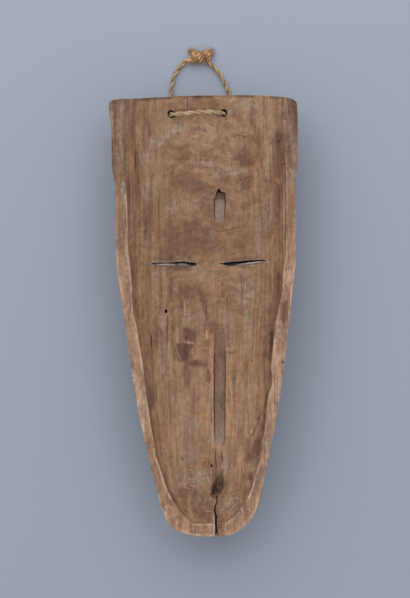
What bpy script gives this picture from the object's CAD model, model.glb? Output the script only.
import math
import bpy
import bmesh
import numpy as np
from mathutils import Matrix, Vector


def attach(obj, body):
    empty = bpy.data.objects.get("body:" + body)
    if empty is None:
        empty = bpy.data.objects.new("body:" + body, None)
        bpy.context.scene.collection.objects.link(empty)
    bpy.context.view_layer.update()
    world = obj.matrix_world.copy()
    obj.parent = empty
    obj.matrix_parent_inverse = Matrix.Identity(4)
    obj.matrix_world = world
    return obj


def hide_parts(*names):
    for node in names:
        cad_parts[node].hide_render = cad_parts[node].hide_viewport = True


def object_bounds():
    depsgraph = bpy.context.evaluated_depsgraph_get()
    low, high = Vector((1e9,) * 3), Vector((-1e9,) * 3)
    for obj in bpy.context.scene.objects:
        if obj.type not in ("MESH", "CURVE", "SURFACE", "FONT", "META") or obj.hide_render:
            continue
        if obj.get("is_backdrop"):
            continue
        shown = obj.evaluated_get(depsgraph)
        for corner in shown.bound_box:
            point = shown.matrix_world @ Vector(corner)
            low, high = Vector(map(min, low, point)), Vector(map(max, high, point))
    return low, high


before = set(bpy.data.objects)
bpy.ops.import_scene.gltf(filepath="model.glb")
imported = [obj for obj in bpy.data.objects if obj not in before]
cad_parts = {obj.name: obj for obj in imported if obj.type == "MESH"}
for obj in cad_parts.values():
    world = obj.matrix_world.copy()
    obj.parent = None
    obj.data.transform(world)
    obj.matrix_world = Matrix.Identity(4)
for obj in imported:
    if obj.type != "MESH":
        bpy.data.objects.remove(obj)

# %% [markdown]
# # A long wooden face mask with its carrying cord
#
# The mask lies on its face, so what we see from above is the hollow that a wearer looks into:
# a long trough with a knife-cut rim, two sight slits, two grooves, a dropped-out knot and a
# crack through the chin. The solid model is already in the scene. It says how big everything
# is and where it lies, and this script dresses it. Sizes are written in millimetres and
# turned into Blender's metres in one place.

cad_box = [list(corner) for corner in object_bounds()]
MM = 0.001


def lone(thing):
    """Selects one object and nothing else, so that an operator acts on it alone."""
    bpy.ops.object.select_all(action="DESELECT")
    thing.select_set(True)
    bpy.context.view_layer.objects.active = thing
    return thing


def add_object(name, data):
    """A new object at the origin, linked into the scene."""
    made = bpy.data.objects.new(name, data)
    bpy.context.collection.objects.link(made)
    return made


def triangles(thing):
    """How many triangles a mesh object has."""
    return sum(len(face.vertices) - 2 for face in thing.data.polygons)


print("solid nodes:", sorted(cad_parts))
print("solid model's box, mm:", [[round(v / MM) for v in corner] for corner in cad_box])

# %% [markdown]
# ## Camera
#
# The picture that this scene follows was taken square on, from a few paces away. A long lens
# straight above the mask gives the same view: at 120 mm on a 36 mm tall frame, one pixel of
# the 410 x 598 picture covers one millimetre at the height of the rim.

# %% Camera
PICTURE_HEIGHT = 598  # pixels, and so millimetres at the height of the rim
LENS, SENSOR = 120, 36  # mm
RIM_TOP = 72

camera_data = bpy.data.cameras.new("camera")
camera_data.lens = LENS
camera_data.sensor_fit = "VERTICAL"
camera_data.sensor_height = SENSOR
camera = add_object("camera", camera_data)
bpy.context.scene.camera = camera
VIEW = (1.5, 15, RIM_TOP + PICTURE_HEIGHT * LENS / SENSOR)
camera.location = [v * MM for v in VIEW]
print("camera height, mm:", round(VIEW[2]))

# %% [markdown]
# ## The cord
#
# A string of two twisted plies goes from the knot through one hole, across the hollow side
# and back through the other hole to the knot. Its route is a list of places, and a smooth
# curve runs through them. A Blender curve object with a bevel would do for a plain cord, but
# the twist of the plies is what makes this one look like string, so it is built as a mesh.

# %% The cord's route and a smooth line through it
CORD_DIAMETER = 4.4
CORD_ROUTE = [
    (-12.5, 264.6, 4.4), (-18.6, 260.6, 3.1), (-24.3, 255.3, 2.5), (-29.2, 248.4, 2.5),
    (-32, 240, 2.5), (-33.4, 231, 2.5), (-33.9, 222, 2.5), (-33.8, 213.6, 2.6),
    (-33.7, 208.2, 4.1), (-33.6, 204.6, 8), (-33.6, 203.2, 13.4), (-33.6, 203, 20),
    (-33.6, 203, 27), (-33.5, 203, 34.2), (-32.3, 202.9, 38.8), (-29, 202.8, 42.1),
    (-24.5, 203, 43.2), (-18, 203.6, 42.2), (-10, 204.5, 40.6), (-2, 205.1, 39.9),
    (5.6, 205.1, 40.2), (12.2, 204.7, 40.4), (16.7, 204.3, 39), (20, 204.1, 35.7),
    (21.2, 204.1, 31), (21.2, 204.1, 24), (21.3, 204.3, 17), (21.7, 205.3, 11),
    (22.5, 208.6, 6), (23.9, 213.9, 3.1), (25.6, 220.5, 2.5), (25.9, 227.2, 2.5),
    (23.8, 234.6, 2.5), (19.4, 243.6, 2.5), (13.4, 251.8, 2.5), (7, 258.2, 3.1),
    (2, 262.6, 4.2),
]


def lengths(line):
    """How far along a line each of its points is."""
    return np.concatenate([[0], np.cumsum(np.linalg.norm(np.diff(line, axis=0), axis=1))])


def even(line, step=None, count=None):
    """The same line with its points a step apart, or with that many points."""
    far = lengths(line)
    count = count or max(2, int(round(far[-1] / step)) + 1)
    at = np.linspace(0, far[-1], count)
    return np.stack([np.interp(at, far, column) for column in line.T], axis=1)


BETWEEN = 24  # points worked out between two given ones, before they are spaced evenly


def smooth_line(points, step):
    """Even points along a centripetal Catmull-Rom curve through the given points."""
    p = np.array(points, float)
    p = np.vstack([2 * p[0] - p[1], p, 2 * p[-1] - p[-2]])
    dense = []
    for a, b, c, d in zip(p, p[1:], p[2:], p[3:]):
        t = np.cumsum([0] + [np.linalg.norm(v - u) ** 0.5 for u, v in ((a, b), (b, c), (c, d))])
        s = np.linspace(t[1], t[2], BETWEEN, endpoint=False)[:, None]
        ab = (a * (t[1] - s) + b * (s - t[0])) / (t[1] - t[0])
        bc = (b * (t[2] - s) + c * (s - t[1])) / (t[2] - t[1])
        cd = (c * (t[3] - s) + d * (s - t[2])) / (t[3] - t[2])
        abc = (ab * (t[2] - s) + bc * (s - t[0])) / (t[2] - t[0])
        bcd = (bc * (t[3] - s) + cd * (s - t[1])) / (t[3] - t[1])
        dense.append((abc * (t[2] - s) + bcd * (s - t[1])) / (t[2] - t[1]))
    return even(np.vstack(dense + [p[-2:-1]]), step=step)


CORD_STEP = 0.5
cord_line = smooth_line(CORD_ROUTE, CORD_STEP)
print("cord length, mm:", round(lengths(cord_line)[-1], 1))

# %% [markdown]
# ## Meshes from rings of points
#
# The cord, the hairs and later the cutters are all stacks of rings, so one helper joins
# neighbouring rings with four-sided faces and another makes an object of points and faces.

# %% Helpers for meshes that are stacks of rings
def ring_faces(rings, around):
    """Four-sided faces between rings of points, each ring closed round."""
    return [(r * around + a, r * around + (a + 1) % around,
             (r + 1) * around + (a + 1) % around, (r + 1) * around + a)
            for r in range(rings - 1) for a in range(around)]


def new_mesh(name, vertices, faces):
    """A mesh object at the origin, from points in millimetres."""
    mesh = bpy.data.meshes.new(name)
    mesh.from_pydata((np.asarray(vertices) * MM).tolist(), [], faces)
    return add_object(name, mesh)


def mark(mesh, name, values, kind="FLOAT", domain="POINT"):
    """Stores numbers or colours on a mesh, for its material to read."""
    attribute = mesh.attributes.new(name, kind, domain)
    attribute.data.foreach_set("value" if kind == "FLOAT" else "color",
                               np.asarray(values, np.float32).ravel())


print("faces of a three-ring, four-sided tube:", len(ring_faces(3, 4)))

# %% [markdown]
# ## Two plies in one tube
#
# Two plies that touch have an outline like a peanut. So the cord is one tube with a peanut
# section that turns as it goes along, which keeps the deep groove between the plies without
# any hidden inner walls. Each point remembers how deep in the groove it lies and how aged
# the fibre is there, and a UV map runs along the strand for the pattern of the fibres.

# %% A tube of two twisted plies along any line
TWIST = 21  # mm of cord to one full turn of a ply
AROUND = 28
PLY_RADIUS = 0.285  # as a share of the whole cord's diameter
TAPER_RUN = 8  # mm over which a tapered end gets thin
AGED_FROM, AGED_RUN = 212, 14  # mm up the table where fibre starts to look aged, and the run
KNOT_FROM, KNOT_RUN = 253, 7  # the same for the colour of the knot


def knotted(y):
    """0 along the cord, rising to 1 at the knot."""
    return np.clip((y - KNOT_FROM) / KNOT_RUN, 0, 1)


def fibre_age(y):
    """0 for the pale stretch inside the mask, 1 for aged cord, 2 at the knot."""
    return np.clip((y - AGED_FROM) / AGED_RUN, 0, 1) + knotted(y)


def frames_along(line):
    """Two directions across a line at each of its points, turned as little as possible."""
    tangent = np.gradient(line, axis=0)
    tangent /= np.linalg.norm(tangent, axis=1)[:, None]
    side = np.cross(tangent[0], (0, 0, 1))
    sides = []
    for t in tangent:
        side = side - t * side.dot(t)
        side = side / np.linalg.norm(side)
        sides.append(side)
    sides = np.array(sides)
    return sides, np.cross(tangent, sides)


def rope(name, line, diameter, twist, taper=0.0):
    """A closed tube whose peanut section turns along the line, thinner at its end if asked."""
    ply = PLY_RADIUS * diameter
    offset = 0.5 * diameter - ply
    far, (side, up) = lengths(line), frames_along(line)
    around = np.linspace(0, 2 * np.pi, AROUND, endpoint=False)
    outline = offset * np.abs(np.cos(around)) + np.sqrt(ply**2 - (offset * np.sin(around)) ** 2)
    fibres = 0.03 * np.sin(9 * around)[None, :] + 0.02 * np.sin(5 * around + far[:, None] * 1.9)
    thin = 1 - taper * np.clip((far - far[-1] + TAPER_RUN) / TAPER_RUN, 0, 1)
    wander = 1 + 0.05 * np.sin(far * 0.83 + 1) + 0.03 * np.sin(far * 2.3)
    radius = outline[None, :] * (1 + fibres) * (thin * wander)[:, None]
    angle = around[None, :] + (2 * np.pi * far / twist)[:, None]
    points = (line[:, None, :] + side[:, None, :] * (radius * np.cos(angle))[..., None]
              + up[:, None, :] * (radius * np.sin(angle))[..., None]).reshape(-1, 3)
    rings, first = len(line), len(points)
    faces, last = ring_faces(rings, AROUND), (rings - 1) * AROUND
    for a in range(AROUND):
        b = (a + 1) % AROUND
        faces += [(first, b, a), (first + 1, last + a, last + b)]
    points = np.vstack([points, line[0], line[-1]])
    made = new_mesh(name, points, faces)
    mark(made.data, "tone", fibre_age(points[:, 1]))
    valley = np.tile(1 - (outline - outline.min()) / np.ptp(outline), rings)
    mark(made.data, "valley", np.append(valley, [0, 0]))
    strand = made.data.uv_layers.new(name="strand")
    corner = np.empty(len(made.data.loops), np.int32)
    made.data.loops.foreach_get("vertex_index", corner)
    ring = np.minimum(corner // AROUND, rings - 1)
    uv = np.stack([(corner % AROUND) / AROUND, far[ring] / diameter], axis=1)
    strand.data.foreach_set("uv", uv.astype(np.float32).ravel())
    return made


cord = rope("cord_plies", cord_line, CORD_DIAMETER, TWIST)
print("cord triangles:", triangles(cord))

# %% [markdown]
# ## The knot and its frayed ends
#
# The two ends of the cord are wound round each other four or five times and pulled tight, and
# what is left of them has opened into loose fibres. A real overhand knot could be modelled
# strand by strand, but nobody can follow the strands in this one. So the windings are one more
# twisted tube, along a loose spiral, and the two ends are short tapered tubes.

# %% Windings and tails
KNOT_MIDDLE = np.array([-3.2, 265.4, 5.4])
WINDINGS, FIRST_ANGLE = 4.6, 2.4
WINDING_POINTS, WINDING_DIAMETER, WINDING_TWIST = 260, 5.2, 6.5
WINDING_RADIUS, WINDING_HEIGHT = 4.1, 2.4
TAIL_DIAMETER, TAIL_TWIST, TAIL_TAPER = 4.2, 16, 0.45
turn = np.linspace(0, 1, WINDING_POINTS)
loose = WINDING_RADIUS + 0.6 * np.sin(13 * turn + 1) + 0.4 * np.sin(31 * turn)
around = 2 * np.pi * WINDINGS * turn + FIRST_ANGLE
winding = KNOT_MIDDLE + np.stack([
    -9.8 + 19.6 * turn + 0.8 * np.sin(17 * turn), -0.6 + 1.2 * turn + loose * np.cos(around),
    WINDING_HEIGHT * np.sin(around),
], axis=1)
TAILS = [
    [(-7, 264.5, 5), (-9.4, 267.2, 6), (-11, 269.4, 5), (-12, 271, 4)],
    [(0.5, 264.5, 5), (3.4, 267.4, 6), (5.4, 269.6, 5), (7, 271.2, 4)],
]
parts = [rope("knot_plies", winding, WINDING_DIAMETER, WINDING_TWIST)]
parts += [rope("tail", smooth_line(line, CORD_STEP), TAIL_DIAMETER, TAIL_TWIST, TAIL_TAPER)
          for line in TAILS]
print("winding length, mm:", round(lengths(winding)[-1]))

# %% [markdown]
# ## Loose fibres
#
# Blender's hair would look finer, but it isn't part of a mesh and would be lost on export.
# These are thin tapered hairs with three sides, each with only a few faces. They fan out from
# the two ends and droop to the table, and a few more stand out from the windings and the cord.

# %% A batch of hairs
HAIR_CORNERS = [(math.cos(a), math.sin(a)) for a in (0.3, 2.4, 4.5)]
HAIR_RINGS = 5
HAIR_LOWEST = 0.35  # mm over the table


def hairs(name, roots, headings, spans, thickness):
    """Thin three-sided hairs that start at roots, follow headings and droop."""
    points, faces = [], []
    last = (HAIR_RINGS - 1) * 3
    hair_faces = ring_faces(HAIR_RINGS, 3) + [(2, 1, 0), (last, last + 1, last + 2)]
    for root, heading, span, thick in zip(roots, headings, spans, thickness):
        side = np.cross(heading, (0.2, 0.1, 1))
        side /= np.linalg.norm(side)
        up = np.cross(heading, side)
        start = len(points)
        for t in np.linspace(0, 1, HAIR_RINGS):
            middle = root + heading * span * t + side * span * 0.12 * math.sin(2.5 * t + root[0])
            middle[2] = max(middle[2] - span * 0.25 * t * t, HAIR_LOWEST)
            points += [middle + (side * c + up * s) * thick * (1 - 0.8 * t)
                       for c, s in HAIR_CORNERS]
        faces += [tuple(start + i for i in face) for face in hair_faces]
    made = new_mesh(name, points, faces)
    mark(made.data, "valley", np.zeros(len(points)))
    mark(made.data, "tone", 1 + knotted(np.array(points)[:, 1]))
    made.data.uv_layers.new(name="strand")
    return made


FIBRES_PER_TAIL = 120
HAIRS = 480
ON_CORD = 0.35  # the share of these that stand out from the cord
FIBRE_SEED = 7
random = np.random.default_rng(FIBRE_SEED)
rows = []
for line in TAILS:
    end = np.array(line[-2], float)
    direction = np.array(line[-1], float) - np.array(line[1], float)
    direction /= np.linalg.norm(direction)
    for _ in range(FIBRES_PER_TAIL):
        heading = direction + random.normal(0, 0.6, 3) * [1, 1, 0.5]
        root = end + random.normal(0, 0.8, 3) * [1, 1, 0.7]
        rows.append((root, heading, random.uniform(3, 8.5), random.uniform(0.14, 0.3)))
print("fibres at the two ends:", len(rows))

# %% More hairs, then all of the knot in one object
for _ in range(HAIRS):
    source = cord_line if random.random() < ON_CORD else winding
    i = random.integers(2, len(source) - 3)
    tangent = source[i + 1] - source[i - 1]
    tangent /= np.linalg.norm(tangent)
    out = np.cross(tangent, random.normal(0, 1, 3))
    out /= np.linalg.norm(out)
    out[2] = abs(out[2])
    heading = tangent * random.choice([-1, 1]) + out * random.uniform(0.3, 0.9)
    span = random.uniform(2, 4.2) if source is cord_line else random.uniform(2.5, 6.5)
    thick = random.uniform(0.1, 0.17) if source is cord_line else random.uniform(0.14, 0.3)
    rows.append((source[i] + out * 1.5, heading, span, thick))
roots, headings, spans, thickness = zip(*rows)
headings = [heading / np.linalg.norm(heading) for heading in headings]
parts.append(hairs("loose_fibres", roots, headings, spans, thickness))


def join(things):
    """Joins objects into the first of them."""
    bpy.ops.object.select_all(action="DESELECT")
    for thing in things:
        thing.select_set(True)
    bpy.context.view_layer.objects.active = things[0]
    bpy.ops.object.join()
    return things[0]


knot = join(parts)
print("knot triangles:", triangles(knot))

# %% [markdown]
# ## The wood: where its edges run
#
# The carver's lines are the same as in the solid model: an outline at the rim, the inner edge
# of the rim, and tables of how deep the face and the hollow lie. Each table gives places along
# the mask and a value there, and a smooth curve runs between them. Only the rim's inner edge is
# a row of straight knife cuts. The curve round the chin has more points here than in the solid,
# and ends a millimetre further down.

# %% Tables of the carved form
FACE_X = 5
SIDES = [
    (-223.6, 2, 17), (-222.5, 10.6, 24.8), (-220.9, 17.8, 30.4), (-218.4, 24.6, 34.6),
    (-214.4, 31, 40.2), (-210.4, 35, 44.6), (-206.2, 37.7, 47.8), (-202, 39.6, 50.3),
    (-197, 41.4, 53), (-176, 47.2, 58.4), (-146, 54.7, 64.9), (-116, 61.2, 70.9), (-76, 69, 77.6),
    (-36, 74.9, 82.6), (4, 80.3, 87), (34, 85, 90.2), (62, 88, 92.6), (100, 88.6, 92.7),
    (130, 88.4, 92.9), (136, 89.8, 92.2), (141, 90.6, 92.2), (145, 91.8, 93.9), (184, 92.2, 94.4),
    (204, 94, 94.2), (210, 94.3, 93.9), (213.5, 94.0, 93.0), (216, 93.4, 91.5),
]
INNER_LEFT = [
    (-211.2, 4), (-210.2, 12.8), (-202.8, 19.8), (-190.4, 29), (-176.8, 36.4), (-157.6, 42.6),
    (-142.4, 48), (-129.4, 50.2), (-107.7, 53.5), (-96, 55.2), (-86, 56.9), (-56, 60),
    (-36, 63.3), (-13.5, 66.7), (0, 70.3), (24, 71.4), (48, 73.4), (64, 75.5), (89, 76),
    (124, 77.4), (146, 80.6), (190, 82), (232, 82),
]
INNER_RIGHT = [
    (-211.2, 17.6), (-210.2, 23.2), (-203, 31.6), (-188, 42.8), (-173.6, 49), (-157.6, 53),
    (-140, 58.6), (-127, 58.6), (-118, 61.6), (-107.7, 62.3), (-96, 63), (-82, 64.8), (-72, 67.8),
    (-62, 68.6), (-54, 67.5), (-40, 69.3), (-20, 71.3), (-9, 71.9), (8, 76), (24, 79.3),
    (38, 79.5), (46, 80.2), (60, 82.5), (74, 82.7), (132, 83), (154, 82), (194, 79.8),
    (232, 79.5),
]
RIM = [(-221, 63), (-150, 68.5), (-60, 71.5), (40, RIM_TOP), (130, 70.5), (232, 65)]
FACE_DEPTH = [
    (-222.4, 19), (-218.4, 28), (-209, 36), (-186, 43), (-150, 50), (-100, 56), (-50, 60), (0, 63),
    (45, 67), (80, 73.4), (108, 73), (150, 62), (190, 49), (232, 36),
]
HOLLOW_DEPTH = [
    (-211, 3), (-207.5, 12), (-201.4, 18.5), (-188, 24.5), (-166, 30.5), (-120, 38.5), (-60, 45),
    (0, 49), (60, 51), (100, 50), (140, 45), (190, 35), (232, 27),
]
FACE_FULLNESS = 2.35
WALL_ROUND = [(-211, 2.7), (-60, 2.6), (60, 2.3), (232, 2.1)]
WALL_STEEP = [(-211, 0.42), (-60, 0.46), (60, 0.6), (232, 0.78)]
TOP_EDGE = [(-94.5, 213.0), (-91, 214.6), (-86, 215.4), (-78, 216.4), (-45, 219.6), (4, 222.2),
            (45, 221.8), (72, 219), (83, 217.2), (89, 215.6), (93.5, 212.6)]
SPINE_X = 4
SPINE = [(0, 222), (0.5, -8), (0.8, -118), (0.93, -160), (1, -178)]
print("the drawn outline's length, mm:", round(TOP_EDGE[5][1] - SIDES[0][0]))
print("its width, mm:", round(max(left + right for _, left, right in SIDES)))


# %% Reading the tables
def along(rows, place, column=1):
    """A smooth value between the rows of a table whose first column rises."""
    table = np.asarray(rows, float)
    p, v = table[:, 0], table[:, column]
    at = np.clip(place, p[0], p[-1])
    i = np.clip(np.searchsorted(p, at, side="right") - 1, 0, len(p) - 2)
    slope = np.diff(v) / np.diff(p)
    tangent = np.concatenate([slope[:1], np.zeros(len(p) - 2), slope[-1:]])
    a, b = slope[:-1], slope[1:]
    rising = a * b > 0
    tangent[1:-1][rising] = (2 * a * b)[rising] / (a + b)[rising]
    run = np.diff(p)[i]
    t = (at - p[i]) / run
    rise = t * t * (3 - 2 * t)
    bend = tangent[i] * t * (1 - t) ** 2 - tangent[i + 1] * t * t * (1 - t)
    return v[i] * (1 - rise) + v[i + 1] * rise + run * bend


CORNERS_FROM = 12  # mm up from the chin's end over which the corners get worn


def inner_edges(y):
    """The inner edge of the rim, left and right: straight knife cuts with worn corners."""
    corner = (-3.0, -1.5, 0.0, 1.5, 3.0)
    reach = [np.mean([np.interp(y + c, *np.array(rows, float).T) for c in corner], axis=0)
             for rows in (INNER_LEFT, INNER_RIGHT)]
    sharp = [np.interp(y, *np.array(rows, float).T) for rows in (INNER_LEFT, INNER_RIGHT)]
    near_end = np.clip((y - INNER_LEFT[0][0]) / CORNERS_FROM, 0, 1)
    left, right = (a * near_end + b * (1 - near_end) for a, b in zip(reach, sharp))
    return -left, right


def outer_edges(y):
    """The outer edge of the rim, left and right."""
    return -along(SIDES, y), along(SIDES, y, 2)


HALF_LINE = 900  # points along each half of an edge


def edge_line(edges, bottom, top_left, top_right):
    """A left edge downwards, then the right edge upwards, as one line in plan."""
    down = np.linspace(top_left, bottom, HALF_LINE)
    up = np.linspace(bottom, top_right, HALF_LINE)
    return np.vstack([np.stack([edges(down)[0], down], axis=1),
                      np.stack([edges(up)[1], up], axis=1)])


TOP_CORNERS, TOP_INNER_CORNERS = (213.4, 212.9), (215.2, 216.6)
outline_line = edge_line(outer_edges, SIDES[0][0], *TOP_CORNERS)
inner_line = edge_line(inner_edges, INNER_LEFT[0][0], *TOP_INNER_CORNERS)
OUTLINE_LENGTH = lengths(outline_line)[-1]
print("outline, mm:", round(OUTLINE_LENGTH), " inner edge, mm:", round(lengths(inner_line)[-1]))

# %% [markdown]
# ## Noise and tool marks
#
# Wood that was cut with an adze and a knife is never smooth. Two small helpers are enough:
# a smooth random field, and a field of overlapping scoops with ridges between them, which is
# what a curved blade leaves. Both are seeded, so each run gives the same wood.

# %% Smooth noise and overlapping scoops
LATTICE = 128  # cells before a random field repeats


def ease(value, low, high):
    """0 below low, 1 above high, and a smooth rise between."""
    t = np.clip((value - low) / (high - low), 0, 1)
    return t * t * (3 - 2 * t)


def noise(x, y, cell_x, cell_y, seed, octaves=3):
    """Smooth random values from about -1 to 1 over a plan, with cells of the given size."""
    total, weight, scale = 0.0, 0.0, 1.0
    for octave in range(octaves):
        lattice = np.random.default_rng(seed * 31 + octave).random((LATTICE, LATTICE))
        a, b = x / cell_x * scale, y / cell_y * scale
        ia, ib = np.floor(a).astype(int), np.floor(b).astype(int)
        fa, fb = a - ia, b - ib
        fa, fb = fa * fa * (3 - 2 * fa), fb * fb * (3 - 2 * fb)
        low_row, high_row = (lattice[ia % LATTICE, (ib + j) % LATTICE] * (1 - fa)
                             + lattice[(ia + 1) % LATTICE, (ib + j) % LATTICE] * fa
                             for j in (0, 1))
        value = low_row * (1 - fb) + high_row * fb
        total += (value * 2 - 1) / scale
        weight += 1 / scale
        scale *= 2
    return total / weight * 1.6


def scoops(x, y, long, wide, turn, seed):
    """Overlapping tool marks: 0 in the middle of each, up to 1 on the ridges between them."""
    c, s = math.cos(turn), math.sin(turn)
    a, b = (x * c + y * s) / long, (-x * s + y * c) / wide
    ia, ib = np.floor(a).astype(int), np.floor(b).astype(int)
    jitter = np.random.default_rng(seed).random((2, LATTICE, LATTICE))
    nearest = np.full(np.shape(a), 9.0)
    for da in (-1, 0, 1):
        for db in (-1, 0, 1):
            ja, jb = (ia + da) % LATTICE, (ib + db) % LATTICE
            far = (a - ia - da - jitter[0, ja, jb]) ** 2 + (b - ib - db - jitter[1, ja, jb]) ** 2
            nearest = np.minimum(nearest, far)
    return np.minimum(nearest * 1.6, 1)


sample = noise(np.arange(200.0), np.arange(200.0) * 0.7, 9, 9, 1)
print("noise runs from", round(sample.min(), 2), "to", round(sample.max(), 2))

# %% [markdown]
# ## Heights of the hollow and of the face
#
# Seen from above, every place on the mask has one height on the hollow side and one on the
# face side. The hollow is a trough whose walls start steeply at the rim, and low in it is the
# ragged pit that a dropped-out knot has left.

# %% The hollow side's height
PIT = (12.8, -180)
PIT_EDGES = [(-8.6, -0.8, 1), (-6.4, -4.8, 2.4), (-3.8, -5.4, 4), (0.4, -4.4, 6), (4.5, -3.6, 7.8),
             (8.6, -1.8, 8.4), (14.7, -0.2, 8), (23, 1, 6.6)]  # up from there, left, right
PIT_DEPTH = 8.5


def share_at(x, y):
    """1 at the middle of the hollow, falling to 0 at the rim."""
    left, right = inner_edges(y)
    u = np.clip(np.abs((2 * x - left - right) / (right - left)), 0, 1)
    return (1 - u ** along(WALL_ROUND, y)) ** along(WALL_STEEP, y)


def pit_depth(x, y):
    """The dropped-out knot: ragged and three-cornered, deepest just above its lower point."""
    dx, dy = x - PIT[0], y - PIT[1]
    rows = np.array(PIT_EDGES).T
    left, right = np.interp(dy, rows[0], rows[1]), np.interp(dy, rows[0], rows[2])
    dx = dx + 0.8 * noise(x, y, 4, 5, 43, 2)
    inside = np.minimum(0.8 * (dx - left), 2 * (right - dx))  # its right wall is the steeper one
    floor = PIT_DEPTH * (1 - ease(dy, -4, 24)) * (1 + 0.35 * noise(x, y, 1.6, 12, 44, 2))
    return floor * ease(inside, -0.5, 3.0) * ease(dy, -9, -7)


def hollow_height(x, y):
    """The height of the hollow side over the table."""
    return along(RIM, y) - along(HOLLOW_DEPTH, y) * share_at(x, y) - pit_depth(x, y)


middle = hollow_height(np.array([5.0]), np.array([0.0]))
print("depth of the hollow at its middle, mm:", (RIM_TOP - middle).round())

# %% [markdown]
# ## The face
#
# The face is turned away from the picture, so it is a plain one of our own: a full arch with a
# long flat-ridged nose, sunken eyes with plain lids over the sight slits, and a small mouth.
# Each feature is a dome added to the arch or taken from it, and the tip of the nose and the
# brow are cut flat where the mask lies on the table.

# %% The face side's height
NOSE = [  # up the face, half width of the base and of the ridge, height of the ridge
    (-60, 14, 5, 14), (-55, 18, 7, 4), (-48, 19, 8, -0.6), (-36, 17.5, 7, -1), (0, 12, 4.6, -1),
    (50, 9, 4, -1), (78, 10, 5, 2.5),
]
EYES = [((-52.4, 50.6), (-11.6, 50.4)), ((62.2, 54.8), (23, 50.4))]  # outer and inner corner
SOCKET_REACH, SOCKET_LIFT, SOCKET_DEPTH = (38, 27), 3, 21
LID_REACH, LID_FROM, LID_BULGE = (26, 11), 23, 10
MOUTH_Y = -106
LIPS_REACH, LIPS_BULGE = (23, 10), 7
PARTING_REACH, PARTING_FROM, PARTING_DEPTH = (18, 1.6), 6, 5
NOSE_STEPS = (5, 8)  # how far its flanks climb, first beside the ridge and then to the cheek
SIDES_END, SIDES_MARGIN = 207, 1.4  # mm: sides are held from the first up, and set out by the other


def dome(x, y, middle, reach, turn=0.0):
    """The share of an ellipsoid's height at a place, 0 outside it."""
    c, s = math.cos(turn), math.sin(turn)
    dx, dy = x - middle[0], y - middle[1]
    inside = 1 - ((dx * c + dy * s) / reach[0]) ** 2 - ((-dx * s + dy * c) / reach[1]) ** 2
    return np.sqrt(np.clip(inside, 0, 1))


def eye_dome(x, y, eye, reach, lift=0):
    """A dome over an eye that leans as the eye does."""
    (ox, oy), (ix, iy) = eye
    lean = math.atan((oy - iy) / (ox - ix))
    return dome(x, y, ((ox + ix) / 2, (oy + iy) / 2 + lift), reach, lean)


def face_height(x, y):
    """The height of the face side over the table."""
    left, right = outer_edges(np.minimum(y, SIDES_END))
    left, right = left - SIDES_MARGIN, right + SIDES_MARGIN
    u = np.clip(np.abs((2 * x - left - right) / (right - left)), 0, 1)
    z = along(RIM, y) - along(FACE_DEPTH, y) * (1 - u**FACE_FULLNESS) ** (1 / FACE_FULLNESS)
    for eye in EYES:
        socket = eye_dome(x, y, eye, SOCKET_REACH, SOCKET_LIFT)
        z = np.where(socket > 0, np.maximum(z, 1 + SOCKET_DEPTH * socket), z)
    in_nose = (y > NOSE[0][0]) & (y < NOSE[-1][0])
    rows = np.array(NOSE)
    base, ridge, low = (np.interp(y, rows[:, 0], rows[:, k]) for k in (1, 2, 3))
    aside = np.abs(x - FACE_X)
    shoulder = (base + ridge) / 2 + 1
    nose = low + NOSE_STEPS[0] * np.clip((aside - ridge) / (shoulder - ridge), 0, 1)
    nose = nose + NOSE_STEPS[1] * np.clip((aside - shoulder) / (base - shoulder), 0, 1)
    nose = np.where(in_nose & (aside <= base), nose, np.inf)
    z = np.minimum(z, nose)
    lips = dome(x, y, (FACE_X, MOUTH_Y), LIPS_REACH)
    face = along(RIM, MOUTH_Y) - along(FACE_DEPTH, MOUTH_Y)
    z = np.where(lips > 0, np.minimum(z, face + 1 - LIPS_BULGE * lips), z)
    for eye in EYES:
        lid = eye_dome(x, y, eye, LID_REACH)
        z = np.where(lid > 0, np.minimum(z, LID_FROM - LID_BULGE * lid), z)
    parting = dome(x, y, (FACE_X, MOUTH_Y), PARTING_REACH)
    z = np.where(parting > 0, np.maximum(z, face - PARTING_FROM + PARTING_DEPTH * parting), z)
    return np.maximum(z, 0)


lowest = face_height(np.array([5.0, 5.0]), np.array([-48.0, 60.0]))
print("the nose and the brow lie at, mm:", lowest.round(1))

# %% [markdown]
# ## Wrapping one sheet round the wood
#
# The mask could be cut from a block with booleans, but then its faces would run anywhere.
# Here one grid is wrapped round it like paper. Its rows go across the wood, one after another
# along the left side, round the chin and back along the right side. Its columns run from the
# middle line of the hollow up the wall, over the rim, down the side and under to the middle
# line of the face. So the crisp edges of the rim lie exactly on columns of the grid.

# %% The sheet
ROWS = 570
FLOOR_CELLS = 62
RIM_CELLS = 9
SIDE_CELLS = 9
TO_INNER = FLOOR_CELLS
TO_OUTER = TO_INNER + RIM_CELLS
TO_UNDER = TO_OUTER + SIDE_CELLS
COLUMNS = TO_UNDER + RIM_CELLS + FLOOR_CELLS
TO_THE_WALL = 1.45  # above 1, the columns of the floor stand closer towards the wall
WELD = 1e-6  # metres within which points are merged

bpy.ops.object.select_all(action="DESELECT")
bpy.ops.mesh.primitive_grid_add(x_subdivisions=COLUMNS, y_subdivisions=ROWS, size=2)
wood = bpy.context.object
wood.name = "carved_mask"
sheet = wood.data
count = len(sheet.vertices)
flat = np.empty(count * 3)
sheet.vertices.foreach_get("co", flat)
flat = flat.reshape(-1, 3)
column = np.rint((flat[:, 0] + 1) / 2 * COLUMNS).astype(int)
row = np.rint((flat[:, 1] + 1) / 2 * ROWS).astype(int)
print("grid:", ROWS, "rows,", COLUMNS, "columns,", count, "points")

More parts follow.
